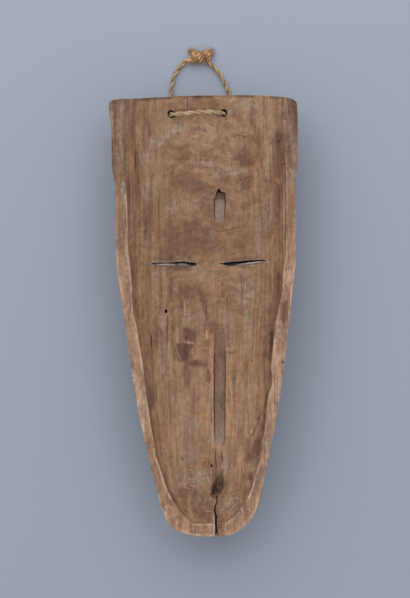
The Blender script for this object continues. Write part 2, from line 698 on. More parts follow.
# %% Where each point of the sheet goes, in plan
s = row / ROWS
nearest_end = 2 * np.minimum(s, 1 - s)
outer = even(outline_line, count=ROWS + 1)[row]
inner = even(inner_line, count=ROWS + 1)[row]
spine = np.stack([np.full(count, float(SPINE_X)), along(SPINE, nearest_end)], axis=1)

mirror_column = np.where(column >= TO_UNDER, COLUMNS - column, np.minimum(column, TO_OUTER))
floor_part = np.clip(mirror_column / FLOOR_CELLS, 0, 1)
rim_part = np.clip((mirror_column - FLOOR_CELLS) / RIM_CELLS, 0, 1)
to_wall = 1 - (1 - floor_part) ** TO_THE_WALL
plan = spine + (inner - spine) * to_wall[:, None]
over_rim = inner + (outer - inner) * rim_part[:, None]
plan = np.where(mirror_column[:, None] > FLOOR_CELLS, over_rim, plan)

FROM_TOP = 30  # mm along the outline over which the top edge's arch dies out
run_in = nearest_end * OUTLINE_LENGTH / 2
top_row = np.array([outer[row == 0][0], inner[row == 0][0], (SPINE_X, SPINE[0][1]),
                    inner[row == ROWS][0], outer[row == ROWS][0]])
arch = along(TOP_EDGE, plan[:, 0]) - np.interp(plan[:, 0], *top_row.T)
plan[:, 1] += arch * (1 - ease(run_in, 0, FROM_TOP))
x, y = plan.T
print("plan of the sheet, mm:", plan.min(axis=0).round(), "to", plan.max(axis=0).round())

# %% Heights
upper = hollow_height(x, y)
rim_height = along(RIM, y)
upper = np.where(mirror_column >= FLOOR_CELLS, rim_height, upper)
under = face_height(x, y)
fall = np.clip((column - TO_OUTER) / SIDE_CELLS, 0, 1)
falling = rim_height + (under - rim_height) * fall
z = np.where(column <= TO_OUTER, upper, np.where(column >= TO_UNDER, under, falling))
sheet.vertices.foreach_set("co", (np.stack([x, y, z], axis=1) * MM).ravel())
outer_fall = along(RIM, outer[:, 1]) - face_height(*outer.T)
round_from_rim = fall * outer_fall + np.linalg.norm(plan - outer, axis=1) * (column >= TO_UNDER)
for name, values in (("column", column), ("progress", s), ("round", round_from_rim)):
    mark(sheet, name, values)
sheet.update()
print("heights, mm:", z.min().round(1), "to", z.max().round(1))

# %% [markdown]
# ## Closing the sheet
#
# The sheet's long edges meet along the two middle lines, where doubles are merged. Its ends
# stand open at the top edge of the mask, above and below, and are bridged as by hand: select
# the two open loops, then Bridge Edge Loops with a few cuts.

# %% The ends and seams of the sheet
lone(wood)
bpy.ops.object.mode_set(mode="EDIT")
bpy.ops.mesh.select_all(action="SELECT")
bpy.ops.mesh.remove_doubles(threshold=WELD)
bpy.ops.mesh.select_all(action="DESELECT")
bpy.ops.mesh.select_mode(type="EDGE")
edit = bmesh.from_edit_mesh(sheet)
number = edit.verts.layers.float["column"]
for edge in edit.edges:
    pair = [v[number] for v in edge.verts]
    if edge.is_boundary and (max(pair) <= TO_OUTER or min(pair) >= TO_UNDER):
        edge.select_set(True)
bmesh.update_edit_mesh(sheet)
bpy.ops.mesh.bridge_edge_loops(type="SINGLE", number_cuts=SIDE_CELLS - 1, interpolation="LINEAR")
bpy.ops.mesh.select_all(action="SELECT")
bpy.ops.mesh.remove_doubles(threshold=WELD)
bpy.ops.mesh.normals_make_consistent(inside=False)
bpy.ops.object.mode_set(mode="OBJECT")


def report(thing):
    """Prints how big a mesh is and whether it is closed."""
    check = bmesh.new()
    check.from_mesh(thing.data)
    open_edges = sum(not e.is_manifold for e in check.edges)
    volume = check.calc_volume() / MM**3 / 1000
    check.free()
    print(thing.name, "triangles", triangles(thing), "open edges", open_edges,
          "volume cm3", round(volume, 1))


report(wood)

# %% [markdown]
# ## Tool marks on every side
#
# The points are now pushed out or in along the surface's own direction. The floor gets broad
# slanting adze marks, the walls get narrow marks that run with the grain, the rim is a row of
# flat knife cuts, each a little differently tilted, and the outside gets longer cuts. This
# could be sculpted by hand, but marks that follow a rule can be made in code all at once.

# %% Knife cuts along the rim
def along_outline(side, place):
    """How far along the outline a height on its left or right side is, from 0 to 1."""
    first = 0 if side == "left" else HALF_LINE
    half = outline_line[first:first + HALF_LINE]
    nearest = first + int(np.argmin(np.abs(half[:, 1] - place)))
    return lengths(outline_line)[nearest] / OUTLINE_LENGTH


RIM_CUTS = {  # height on the mask where each begins, its tilt and its lift
    "left": [
        (212, 0.5, -0.2), (178, -0.4, 0), (140, 0.3, 0), (96, 0.9, 0.1), (62, 0.2, -0.2),
        (24, 1.0, 0.1), (-2, -0.5, -0.3), (-35, 0.8, 0), (-56, 0.1, -0.3), (-88, 0.9, 0),
        (-129, -0.3, -0.2), (-162, 0.7, 0.1), (-181, -0.4, -0.3), (-199, 0.6, 0.1),
        (-219, 0.2, 0),
    ],
    "right": [
        (-217, -0.6, 0), (-201, 0.8, -0.2), (-186, -0.3, 0), (-173, 0.6, 0), (-151, -0.5, -0.3),
        (-127, 0.7, 0.1), (-80, -0.2, -0.2), (-62, 0.8, 0), (-40, -0.5, -0.2), (-9, 0.9, 0.1),
        (11, -0.9, -0.2), (29, 1.2, 0.2), (46, -0.2, 0), (80, 0.4, 0), (120, -0.4, 0),
        (160, 0.4, 0),
    ],
}
RIM_BEVEL, BEVEL_SHARE = 0.45, 0.16  # mm, and the share of the rim's width at each edge
CUT_SLANT, CUT_BLEND = 0.004, 0.0022  # as shares of the outline


def rim_cut(progress, across):
    """How high a knife cut leaves the rim, from its progress along and its share across."""
    starts, tilt, lift = np.array([(along_outline(side, place), tilt, lift)
                                   for side, cuts in RIM_CUTS.items()
                                   for place, tilt, lift in cuts]).T
    slant = progress + CUT_SLANT * (across - 0.5)
    which = np.clip(np.searchsorted(starts, slant, side="right") - 1, 0, len(starts) - 1)
    before = np.maximum(which - 1, 0)
    mix = ease(slant - starts[which], 0, CUT_BLEND)
    tilts = tilt[before] * (1 - mix) + tilt[which] * mix
    lifts = lift[before] * (1 - mix) + lift[which] * mix
    return tilts * (across - 0.5) + lifts


print("knife cuts on the rim:", sum(len(cuts) for cuts in RIM_CUTS.values()))


# %% Reading a mesh into arrays
def read(mesh, name, kind="value", width=1):
    """A mesh attribute as an array."""
    values = np.empty(len(mesh.attributes[name].data) * width)
    mesh.attributes[name].data.foreach_get(kind, values)
    return values if width == 1 else values.reshape(-1, width)


def places(mesh):
    """Where a mesh's points are, in millimetres."""
    return read(mesh, "position", "vector", 3) / MM


def directions(mesh):
    """Which way the surface faces at each point."""
    values = np.empty(len(mesh.vertices) * 3)
    mesh.vertex_normals.foreach_get("vector", values)
    return values.reshape(-1, 3)


points, normals = places(sheet), directions(sheet)
x, y, z = points.T
column, progress, round_from_rim = (read(sheet, name) for name in ("column", "progress", "round"))
print("points:", len(points))

# %% A rough cut low on the right wall
GOUGE = [(57.5, -100), (51.5, -109), (46.5, -119), (43.6, -129), (43, -141), (46, -152), (51, -160)]
GOUGE_DEPTH = 2.4
GOUGE_ENDS = ((-161, -150), (-104, -98))  # mm up the mask, over which it comes and goes


def gouge(x, y):
    """A slanting cut: nothing left of its line, and full depth just right of it."""
    line = np.array(GOUGE[::-1], float)
    edge = np.interp(y, line[:, 1], line[:, 0]) + 0.5 * noise(x * 0, y, 9, 5, 23, 2)
    ends = ease(y, *GOUGE_ENDS[0]) * (1 - ease(y, *GOUGE_ENDS[1]))
    return GOUGE_DEPTH * ease(x - edge, -0.2, 1.1) * (1 - ease(x - edge, 4, 15)) * ends


print("deepest, mm:", gouge(x, y).max().round(2))

# %% Where each kind of tool was used
END_FROM, END_FACING = 208, 0.7  # the forehead end: how far up, and how squarely it faces there
across = np.clip((column - TO_INNER) / RIM_CELLS, 0, 1)
on_hollow = column < TO_INNER
on_rim = (column >= TO_INNER) & (column <= TO_OUTER)
on_side = (column > TO_OUTER) & (column < TO_UNDER)
on_end = on_side & (y > END_FROM) & (np.abs(normals[:, 1]) > END_FACING)
outside = (column > TO_OUTER) & ~on_end
print("points in the hollow, on the rim, outside:", on_hollow.sum(), on_rim.sum(), outside.sum())

# %% Adze marks in the hollow
GROOVES_X, GROOVES_REACH = 16.4, 9  # mm: the line of both grooves, and how far to each side
GROOVES_SPANS = ((88, 128), (-140, -10))  # where the floor's marks are made weak for them
SCOOP_LEVEL = 0.35  # taken from each scoop, so that marks go both below and above the form
share = share_at(x, y)
middle = ease(share, 0.62, 0.93)
in_span = np.any([(y > low) & (y < high) for low, high in GROOVES_SPANS], axis=0)
grooved = (np.abs(x - GROOVES_X) < GROOVES_REACH) & in_span
bent_x, bent_y = x + 7 * noise(x, y, 30, 30, 71, 2), y + 7 * noise(x, y, 30, 30, 72, 2)
broad = 0.8 * (scoops(bent_x, bent_y, long=26, wide=11, turn=0.42, seed=5) - SCOOP_LEVEL)
broad += 0.5 * noise(x, y, 42, 34, 6, 2)
broad += 0.25 * (scoops(bent_x, bent_y, long=9, wide=6, turn=-0.5, seed=15) - SCOOP_LEVEL)
narrow = 0.5 * (scoops(x, y, long=66, wide=7.5, turn=math.pi / 2, seed=8) - SCOOP_LEVEL)
narrow += 0.3 * noise(x, y, 16, 70, 9, 2)
push = (broad * middle + narrow * (1 - middle)) * (1 - 0.85 * grooved)
push -= gouge(x, y)
push += 0.1 * noise(x, y, 2.6, 11, 10, 2)
push *= on_hollow
push *= ease(along(RIM, y) - z, 0.3, 4) * 0.9 + 0.1
print("hollow pushed by up to, mm:", np.abs(push).max().round(2))

# %% Knife cuts on the rim and round the outside
CUT_LEVEL = 0.4  # the same as SCOOP_LEVEL, for the long cuts round the outside
bevel = ease(BEVEL_SHARE - np.minimum(across, 1 - across), 0, BEVEL_SHARE) * RIM_BEVEL
bevel *= 1 + 0.9 * noise(x, y, 9, 9, 12, 2)
lift = rim_cut(progress, across) - bevel + 0.06 * noise(x, y, 3, 3, 13, 2)
reach = progress * OUTLINE_LENGTH
cuts = 0.8 * (scoops(reach, round_from_rim, long=58, wide=15, turn=0.12, seed=17) - CUT_LEVEL)
cuts += 0.4 * noise(reach, round_from_rim, 60, 30, 18, 2)
cuts *= ease(z, 0.4, 4) * ease(column - TO_OUTER, 0, 3)
push += np.where(outside, cuts + 0.06 * noise(reach, round_from_rim, 5, 2.2, 19, 2), 0)
push += np.where(on_end, 0.25 * noise(x, z, 2.2, 9, 20, 2) + 0.5 * noise(x, z, 26, 40, 21, 2), 0)
points += normals * push[:, None]
points[:, 2] += np.where(on_rim, lift, 0)
points[:, 2] = np.clip(points[:, 2], 0, RIM_TOP)
sheet.vertices.foreach_set("co", (points * MM).ravel())
sheet.update()
print("pushed in and out by up to, mm:", round(float(np.abs(push).max()), 2))

# %% [markdown]
# ## Cuts into and through the wood
#
# The sight slits, the grooves, the holes, the cracks and the chips have crisp edges of their
# own, so they are cut with one boolean. Each cutter is a closed solid that follows the
# surface. Its faces carry colour hints, which the boolean hands on to the fresh faces in the
# wood: how black, how dusty and how pale they are, and whether they are bare cut wood.
# Places are read off a drawing of the hollow side at 1:1, where one pixel is a millimetre.

# %% Reading places off the drawing
PIXEL_X, PIXEL_Y = 203.5, 314  # the pixel that shows the frame's origin at the height of the rim


def on_wood(px, py):
    """The place on the hollow side that shows at a pixel of the drawing, seen from above."""
    right, up = px - PIXEL_X, PIXEL_Y - py
    x, y = float(right), float(up)
    for _ in range(4):  # each round starts from a better height
        z = float(hollow_height(np.array([x]), np.array([y]))[0])
        grow = (VIEW[2] - z) / (VIEW[2] - RIM_TOP)
        x, y = VIEW[0] + (right - VIEW[0]) * grow, VIEW[1] + (up - VIEW[1]) * grow
    return x, y, z


print("lower end of the long groove, mm:", [round(v, 1) for v in on_wood(220, 446)])

# %% A closed solid through rings of points, with colour hints
BLACK, BROWN, CRACK_BROWN = (1, 0, 0, 1), (0.32, 0, 0, 0), (0.8, 0, 0, 1)  # black, dusty, pale, cut
PALE, PLAIN, WORN = (0, 0, 0.7, 0), (0, 0, 0, 0), (0.04, 0, 0, 0)


def prism(name, rings, hint=BLACK):
    """A closed solid through rings. hint colours its faces, or is asked for each one."""
    size = len(rings[0])
    ask = hint if callable(hint) else lambda r, a: hint
    ends = [tuple(reversed(range(size))), tuple(range((len(rings) - 1) * size, len(rings) * size))]
    hints = [ask(0, 0)] * 2 + [ask(r, a) for r in range(len(rings) - 1) for a in range(size)]
    made = new_mesh(name, [p for ring in rings for p in ring], ends + ring_faces(len(rings), size))
    mark(made.data, "fresh", hints, "FLOAT_COLOR", "FACE")
    return made


def oval(cx, cy, half_x, half_y, z, count):
    """A level ring of points."""
    turn = np.linspace(0, 2 * np.pi, count, endpoint=False)
    return [(cx + math.cos(a) * half_x, cy + math.sin(a) * half_y, z) for a in turn]


cutters = []
print("hints:", {"black": BLACK, "brown": BROWN, "pale": PALE})

# %% [markdown]
# ## Sight slits
#
# Two narrow slits were cut through at the level of the wearer's eyes. Seen from above they
# are dark along the top, where the gap goes down through the wood with a slight lean towards
# the chin. Their lower side is a shallow worn lip that catches the light. A row of stations
# gives the edges.

# %% Sight slits, with a sloping dusty lower lip
SLITS = {  # pixel across, then upper edge, lower edge, where the lip ends, and how pale the lip is
    "slit_left": [
        (151.5, 263.0, 263.9, 263.6, 0.0), (156, 262.6, 266.2, 263.6, 0.7),
        (162, 262.6, 266.8, 263.6, 1.0), (168, 262.5, 266.9, 263.5, 1.0),
        (173, 262.2, 266.6, 263.7, 0.8), (176, 261.9, 267.1, 263.6, 0.1),
        (180, 261.5, 267.8, 263.2, 0.5), (185, 261.5, 267.8, 263.3, 0.5),
        (189, 262.4, 267.2, 264.6, 0.2), (193, 262.6, 266.4, 265.2, 0.0),
        (196.5, 263.4, 264.8, 264.4, 0.0),
    ],
    "slit_right": [
        (219.5, 263.2, 263.8, 263.6, 0.0), (225, 262.6, 265.2, 264.9, 0.0),
        (230, 262.0, 266.0, 265.4, 0.1), (237, 261.3, 266.2, 264.6, 0.4),
        (244, 260.7, 265.6, 263.0, 0.8), (251, 260.2, 264.9, 262.1, 1.0),
        (258, 259.8, 263.7, 261.4, 1.0), (263, 259.7, 262.3, 260.9, 0.8),
        (266.5, 260.2, 261.0, 260.6, 0.3),
    ],
}


SLIT_LEVELS = [  # share of the lip that is inside, height over the surface, and lean, bottom to top
    (1.0, -32, -3.6), (1.0, -6, -1.2), (1.0, -1.6, 0), (0.45, -0.9, 0), (0, 0.05, 0), (-0.1, 3, 0),
]
SLIT_STATIONS = 40
SLIT_LEAST = 0.25  # mm, the narrowest that a slit gets
RAGGED = 0.12  # mm, about how far a cut edge wanders


def slit_cutter(name, stations):
    """A wedge through the wood: a shallow lip below, then a leaning gap that goes right through."""
    table = np.array(stations)
    fine = np.linspace(table[0, 0], table[-1, 0], SLIT_STATIONS)
    high, low, end, pale_lip = [np.interp(fine, table[:, 0], table[:, k]) for k in (1, 2, 3, 4)]
    rag = np.random.default_rng(int(table[0, 0])).normal(0, RAGGED, (3, len(fine)))
    rings = []
    for lip, z_step, lean in SLIT_LEVELS:
        upper_edge, lower_edge = [], []
        for i, px in enumerate(fine):
            kept = high[i] + rag[0, i]
            start, run = low[i] + rag[1, i], end[i] + rag[2, i] - low[i] - rag[1, i]
            edge = max(start + run * lip, kept + SLIT_LEAST)
            hx, hy, hz = on_wood(px, kept)
            lx, ly, lz = on_wood(px, edge)
            level = min(hz, lz) + z_step
            upper_edge.append((hx, hy + lean, level))
            lower_edge.append((lx, ly + lean, level))
        rings.append(lower_edge + upper_edge[::-1])

    def hint(r, a):
        """Black inside, and a dusty lip that is palest where the table says so."""
        if r < 2 or a >= SLIT_STATIONS - 1:
            return BLACK
        if r == 2:
            return (0.7 * (1 - float(pale_lip[a])), 0.3, 0.6 * float(pale_lip[a]), 1)
        return (0.4, 0, 0, 1)

    return prism(name, rings, hint)


cutters += [slit_cutter(name, stations) for name, stations in SLITS.items()]
print("slits:", list(SLITS))

# %% [markdown]
# ## Grooves
#
# A short and a long groove lie on one line down the hollow, cut with a chisel about 12 mm
# wide. Their walls are crisp, their floors are flat and rise to nothing at the lower end, and
# the short one has a deep dark notch at its top. They are stacks of cross-sections, each from
# the left wall over the floor to the right wall.

# %% Grooves: crisp walls, a flat floor that rises to nothing at the lower end
GROOVES = [  # pixel down, left and right wall, depth, dust on the floor
    [
        (188.6, 218.1, 219.3, 3.0, 0), (190.2, 217.4, 220.2, 5.0, 0), (191.7, 216.8, 221, 5.0, 0),
        (192.3, 216.4, 224.4, 4.4, 0), (193.6, 216.1, 225, 4.2, 0.1),
        (196.2, 215.4, 225.2, 4.2, 0.25), (198.2, 214.6, 225.4, 4.0, 0.35),
        (199.6, 213.7, 225.8, 3.4, 0.85), (206, 213.4, 226, 3.0, 0.95),
        (208, 213.4, 225.4, 2.8, 0.95), (213, 213.5, 225.4, 2.3, 0.85),
        (218, 213.7, 225.2, 1.4, 0.8), (222.5, 214, 225, 0.3, 0.5),
    ],
    [
        (328, 215, 224.6, 0.3, 0.1), (331, 214.4, 225, 0.9, 0.2), (340, 214, 225.6, 1.2, 0.2),
        (349, 213.8, 225.7, 1.5, 0.15), (355, 213.6, 225.9, 1.9, 0.2),
        (359, 213.5, 226, 2.7, 0.15), (368, 213.4, 226, 2.9, 0.25), (385, 213.5, 225.8, 3, 0.4),
        (400, 213.4, 225.8, 2.8, 0.25), (415, 213.6, 225.6, 2.4, 0.3),
        (428, 213.8, 225.3, 1.8, 0.45), (438, 214.2, 225.2, 1.1, 0.6),
        (446, 215, 224.6, 0.35, 0.4),
    ],
]
DEEP_NOTCH, NOTCH_END = 4.5, 190  # deeper than this, or above this pixel, a groove is black
CUT_STEP = 1.2  # mm between the sections of a cutter
ACROSS_A_GROOVE = (0, 0, 0.11, 0.3, 0.5, 0.7, 0.9, 1, 1)
WALLS = {  # which face of a section, then pixels down and how dark the wall is there
    1: ((192, 198, 200, 206, 212, 300, 340, 358, 400, 436),
        (0.15, 0.2, 0.5, 0.5, 0.1, 0.25, 0.2, 0.45, 0.5, 0.35)),
    6: ((192, 204, 210, 300, 358, 380, 436), (0.65, 0.55, 0.15, 0.2, 0.25, 0.3, 0.25)),
}


def groove_cutter(name, stations, seed):
    """A groove as a stack of sections, each from its left wall over the floor to its right."""
    rows = np.array(stations)
    down = np.arange(rows[0, 0], rows[-1, 0] + 0.1, CUT_STEP)
    down = np.unique(np.append(down, rows[:, 0]))
    left, right, deep, dust = (np.interp(down, rows[:, 0], rows[:, k]) for k in (1, 2, 3, 4))
    rag = np.random.default_rng(seed)
    left = left + 0.18 * noise(down * 0, down, 9, 9, seed) + rag.normal(0, 0.05, len(down))
    right = right + 0.18 * noise(down * 0, down, 9, 9, seed + 1) + rag.normal(0, 0.05, len(down))
    rings = []
    for py, l, r, d in zip(down, left, right, deep):
        ring = []
        for share in ACROSS_A_GROOVE:
            x, y, z = on_wood(l + (r - l) * share, py)
            floor = 0 < share < 1
            bow = 0.25 * (1 - (2 * share - 1) ** 2) + rag.normal(0, 0.05)
            ring.append([x, y, z - (d + min(d, 1) * bow if floor else 0)])
        ring[0][2] += 3
        ring[-1][2] += 3
        rings.append([tuple(p) for p in ring])

    def hint(r, a):
        """Black in the notch, darker walls, and a floor that is dusty or dark."""
        fade = min(1.0, float(deep[r]) / 2)
        if deep[r] > DEEP_NOTCH or down[r] < NOTCH_END:
            return BLACK
        if a in (0, 7, 8):
            return PLAIN
        if a in WALLS:
            return (fade * float(np.interp(down[r], *WALLS[a])), 0, 0, fade)
        shade = 0.28 if a < 5 else 0.36
        return (shade * fade * (1 - float(dust[r])), float(dust[r]), 0, 0.8 * fade)

    return prism(name, rings, hint)


cutters += [groove_cutter(f"groove_{i}", stations, 41 + i) for i, stations in enumerate(GROOVES)]
print("grooves:", len(GROOVES))

# %% [markdown]
# ## Holes, cracks and scratches
#
# Beetles have left a few small holes, and the wood has dried out in hairline cracks along the
# grain. Knife tips have left pale scratches. A hole is a short tapered prism, and a crack or a
# scratch is a thin wedge along a line, dark in a crack and pale in a scratch.

# %% Where the holes, cracks and scratches are
HOLES = [  # pixel, then half width and half height, then depth
    (166, 311.2, 1.5, 2.2, 9), (182.4, 459, 0.6, 1.7, 4), (211.5, 465.6, 0.8, 1.8, 5),
    (205.3, 458.2, 0.5, 0.9, 3), (278.6, 141.3, 0.6, 1.8, 4), (251.7, 361, 0.5, 1.0, 3),
    (283, 362, 0.5, 2.0, 2),
]
CORD_HOLES = [(-32.8, 203.1, -33.6), (20.3, 204.2, 21.2)]  # middle at the top, and x below
CORD_HOLE_LEVELS = [  # radius, height, and how far towards the middle below
    (2.55, -5, 1), (2.6, 22, 1), (3.2, 30, 0.7), (4.0, 36, 0), (4.1, 60, 0),
]
HAIRLINES = [  # width, depth, then pixels along it
    (0.8, 2.5, [(167.2, 314.8), (167.9, 322), (167.3, 328), (167.6, 334)]),
    (0.7, 2.0, [(216, 447), (215.4, 455), (216.2, 466), (215.6, 476)]),
    (0.9, 2.5, [(221.8, 452.5), (222.2, 461.5)]),
    (0.8, 1.4, [(233, 138), (236, 136.6), (239, 135), (244.6, 136.4), (249, 135.2), (254, 134.2)]),
    (0.5, 0.8, [(222, 137.4), (226, 139.4), (229, 140.4), (232, 138.6)]),
    (0.6, 1.2, [(187.8, 99.5), (187.4, 109)]),
    (0.4, 0.6, [(240.6, 225.5), (234, 228.6), (227, 230.2), (214, 231.6)]),
    (0.5, 0.7, [(194, 167.2), (203, 168), (211, 166.8)]),
    (0.8, 1.2, [(149.6, 331.5), (151, 338), (151.8, 345), (151.5, 349)]),
    (0.6, 1.0, [(282.2, 112), (284.2, 120)]), (0.6, 0.9, [(285.2, 104), (285.6, 121)]),
    (0.5, 0.8, [(288.6, 103), (288.9, 116)]), (0.5, 0.7, [(139, 215), (138.4, 232)]),
    (0.4, 0.6, [(145.8, 222), (145.6, 238)]), (0.5, 0.6, [(165, 174), (165.6, 184)]),
    (0.7, 0.9, [(191.2, 344), (191.2, 359)]), (0.5, 0.7, [(212, 406), (211.6, 424)]),
    (0.7, 0.9, [(209.8, 377), (209.4, 384)]), (0.7, 0.9, [(241.8, 467), (242, 474)]),
    (0.5, 0.7, [(227, 436), (224.4, 443)]), (0.6, 0.8, [(254.6, 150), (250.6, 158)]),
]
SCRATCHES = [  # pale, where something sharp has opened fresh wood
    (1.2, 0.5, [(284.6, 162), (291, 170.6), (296.5, 176.6)]),
    (1.2, 0.4, [(175.4, 336.6), (179.4, 340.6), (190.4, 343.8)]),
    (1.0, 0.4, [(196.4, 347.6), (203, 349), (211, 347.4)]),
    (1.1, 0.5, [(206.8, 330), (207.8, 340)]),
    (1.0, 0.4, [(174.6, 341), (177.6, 352), (183.8, 363.6), (198, 368.4)]),
    (1.2, 0.4, [(184.6, 301), (186, 320)]),
    (1.1, 0.4, [(190.2, 97), (189.2, 101), (188.6, 106.5)]),
    (1.0, 0.3, [(140, 157), (144, 166), (148.6, 173)]),
    (0.9, 0.4, [(249.6, 134.2), (254.6, 133.4)]), (1.0, 0.3, [(138.4, 216), (139.4, 236)]),
    (1.0, 0.4, [(199, 368), (202.4, 378), (201, 372)]), (0.9, 0.3, [(165, 172), (164.2, 186)]),
    (1.3, 2.4, [(259.3, 415.4), (254.6, 424), (250.2, 431.6), (247.2, 441)]),
    (1.2, 0.5, [(194, 466), (188.6, 471)]), (1.3, 0.5, [(196, 475), (190, 482)]),
    (1.3, 0.5, [(206, 487), (194, 478)]), (1.2, 0.5, [(201, 480), (197, 487)]),
    (1.1, 0.4, [(184, 487), (193, 489)]), (1.2, 0.5, [(203, 492), (189, 484)]),
    (1.1, 0.4, [(200, 471), (193, 464)]), (1.1, 0.4, [(208, 480), (199, 473)]),
    (1.0, 0.4, [(186, 476), (196, 484)]), (1.0, 0.4, [(226, 488), (232, 482)]),
    (1.0, 0.4, [(228, 497), (236, 492)]), (1.0, 0.4, [(224, 504), (233, 500)]),
    (0.8, 0.3, [(203, 468), (203.4, 476)]), (0.7, 0.3, [(190, 464), (193, 472)]),
    (0.8, 0.3, [(216, 443), (209, 446.6)]), (0.7, 0.3, [(201, 444), (206, 448)]),
    (0.8, 0.3, [(224.2, 438), (222.4, 444)]), (1.1, 0.3, [(236, 187), (243, 180)]),
    (1.0, 0.3, [(204, 511), (212, 511.6)]), (0.8, 0.3, [(247.4, 412), (244, 420)]),
]
CRACK = [  # place, and half of its width there
    (13.4, -184.5, 0.6), (13.8, -190, 0.65), (11.7, -196.5, 0.7), (11.3, -200.5, 0.85),
    (12.4, -203.5, 0.95), (12.6, -212, 1.0), (12.6, -229, 1.05),
]
CRACK_STEP, CRACK_SEED = 1.5, 5
CRACK_FLOOR, CRACK_SKIN = 33, 4  # its lowest height, and the wood that it leaves over the face
print("holes, hairlines, scratches:", len(HOLES), len(HAIRLINES), len(SCRATCHES))


# %% Their cutters
def hole_cutter(name, px, py, half_x, half_y, depth):
    """A tapered hole with an oval mouth."""
    cx, cy, cz = on_wood(px, py)
    rings = [oval(cx, cy, half_x * k, half_y * k, cz + h, 12)
             for k, h in ((0.55, -depth), (0.9, -depth / 2), (1, 0), (1.1, 3))]
    return prism(name, rings)


def line_cutter(name, width, depth, pixels, hint):
    """A thin V-shaped wedge along a line on the hollow side."""
    line = np.array([on_wood(*p) for p in pixels])
    line = smooth_line(line, CUT_STEP) if len(pixels) > 2 else even(line, step=CUT_STEP)
    seed = np.random.default_rng(int(pixels[0][0] * 7 + pixels[0][1]))
    line[1:-1, :2] += seed.normal(0, RAGGED, (len(line) - 2, 2))
    line[:, 2] = hollow_height(line[:, 0], line[:, 1])
    tangent = np.gradient(line[:, :2], axis=0)
    tangent /= np.linalg.norm(tangent, axis=1)[:, None]
    normal = np.stack([-tangent[:, 1], tangent[:, 0]], axis=1)
    taper = np.sqrt(np.clip(np.sin(np.linspace(0.12, np.pi - 0.12, len(line))), 0, 1))
    taper = taper * seed.uniform(0.7, 1.15, len(line))
    half = (width / 2 * taper)[:, None]
    rings = []
    for k, h in ((0.25, -depth), (1, 0), (1.6, 1.5)):
        level = line[:, 2:] + h
        left = np.hstack([line[:, :2] + normal * half * k, level])
        right = np.hstack([line[:, :2] - normal * half * k, level])
        rings.append([tuple(p) for p in np.vstack([right, left[::-1]])])
    return prism(name, rings, hint)


cutters += [hole_cutter(f"hole_{i}", *values) for i, values in enumerate(HOLES)]
cutters += [line_cutter(f"line_{i}", *values, hint=BROWN) for i, values in enumerate(HAIRLINES)]
cutters += [line_cutter(f"scratch_{i}", *values, hint=PALE) for i, values in enumerate(SCRATCHES)]
print("cutters so far:", len(cutters))

# %% The two cord holes, and the crack through the chin
for i, (cx, cy, low_x) in enumerate(CORD_HOLES):
    rings = [oval(cx + (low_x - cx) * lean, cy, wide, wide, h, 28)
             for wide, h, lean in CORD_HOLE_LEVELS]
    cutters.append(prism(f"cord_hole_{i}", rings))
crack_line = smooth_line(CRACK, CRACK_STEP)
crack_line[1:-1, 0] += np.random.default_rng(CRACK_SEED).normal(0, RAGGED, len(crack_line) - 2)
ribbon = np.vstack([crack_line[:, :2] + crack_line[:, 2:] * [1, 0],
                    (crack_line[:, :2] - crack_line[:, 2:] * [1, 0])[::-1]])
floor_level = np.maximum(face_height(*ribbon.T) + CRACK_SKIN, CRACK_FLOOR)
rings = [[(x, y, low + (RIM_TOP + 8 - low) * k) for (x, y), low in zip(ribbon, floor_level)]
         for k in (0, 0.3, 0.6, 1)]
cutters.append(prism("crack", rings, CRACK_BROWN))
print("crack length, mm:", round(lengths(crack_line[:, :2])[-1]))

# %% [markdown]
# ## Chips on the rim
#
# Here and there a knife has taken a thin slice off the rim, and where the mask was handled a
# splinter has come away. A slice is a slightly twisted sheet on a fine grid with walls above
# it, so that the boolean leaves many small faces and the shading stays even.

# %% Chips and facets on the rim, and the scoop in its right edge
FACETS = [  # four corners in pixels, depth at each of them under the rim, colour hint
    ([(217.4, 512), (224.4, 513.2), (225.2, 540), (217.0, 540)],
     (1.0, 0.3, 1.6, 2.6), (0.16, 0, 0, 0)),
    ([(194.5, 526.2), (212.8, 525.8), (212.6, 534.6), (194.5, 534.2)],
     (0.5, 0.6, 0.8, 0.7), (0.1, 0, 0, 0)),
    ([(233, 516), (240, 511), (243.5, 515.5), (237, 523)],
     (0.3, 0.3, 0.7, 0.7), (0.02, 0.5, 0, 0)),
    ([(283.2, 271), (291.6, 268), (293, 282), (284, 285)], (0.1, 0.7, 0.8, 0.1), (0, 0, 0.4, 0)),
    ([(280.6, 303), (288, 301), (288.5, 327), (281, 329)], (0.4, 0.9, 0.9, 0.3), (0.05, 0, 0, 0)),
    ([(266, 446), (272.5, 444), (271, 458), (265, 459)], (0.2, 0.8, 0.8, 0.2), (0.02, 0.5, 0, 0)),
    ([(146, 430), (152, 429), (155, 448), (150, 449)], (0.8, 0.1, 0.1, 0.9), (0, 0, 0, 0)),
    ([(161, 505), (166, 498), (180, 512), (174, 524)], (0.6, 0.1, 0.1, 0.8), (0, 0, 0, 0)),
    ([(124, 330), (128, 329), (131, 352), (127, 353)], (0.8, 0.1, 0.1, 0.7), (0, 0, 0, 0)),
    ([(286.5, 352), (289, 352), (286.5, 372), (284, 372)], (0.1, 0.8, 0.8, 0.1), (0.05, 0, 0, 0)),
]
FACET_CELL = 1.3  # mm
SCOOP = (269.6, 378.5, 2.5, 10.8, 3.2)  # pixel, half width and half height, depth


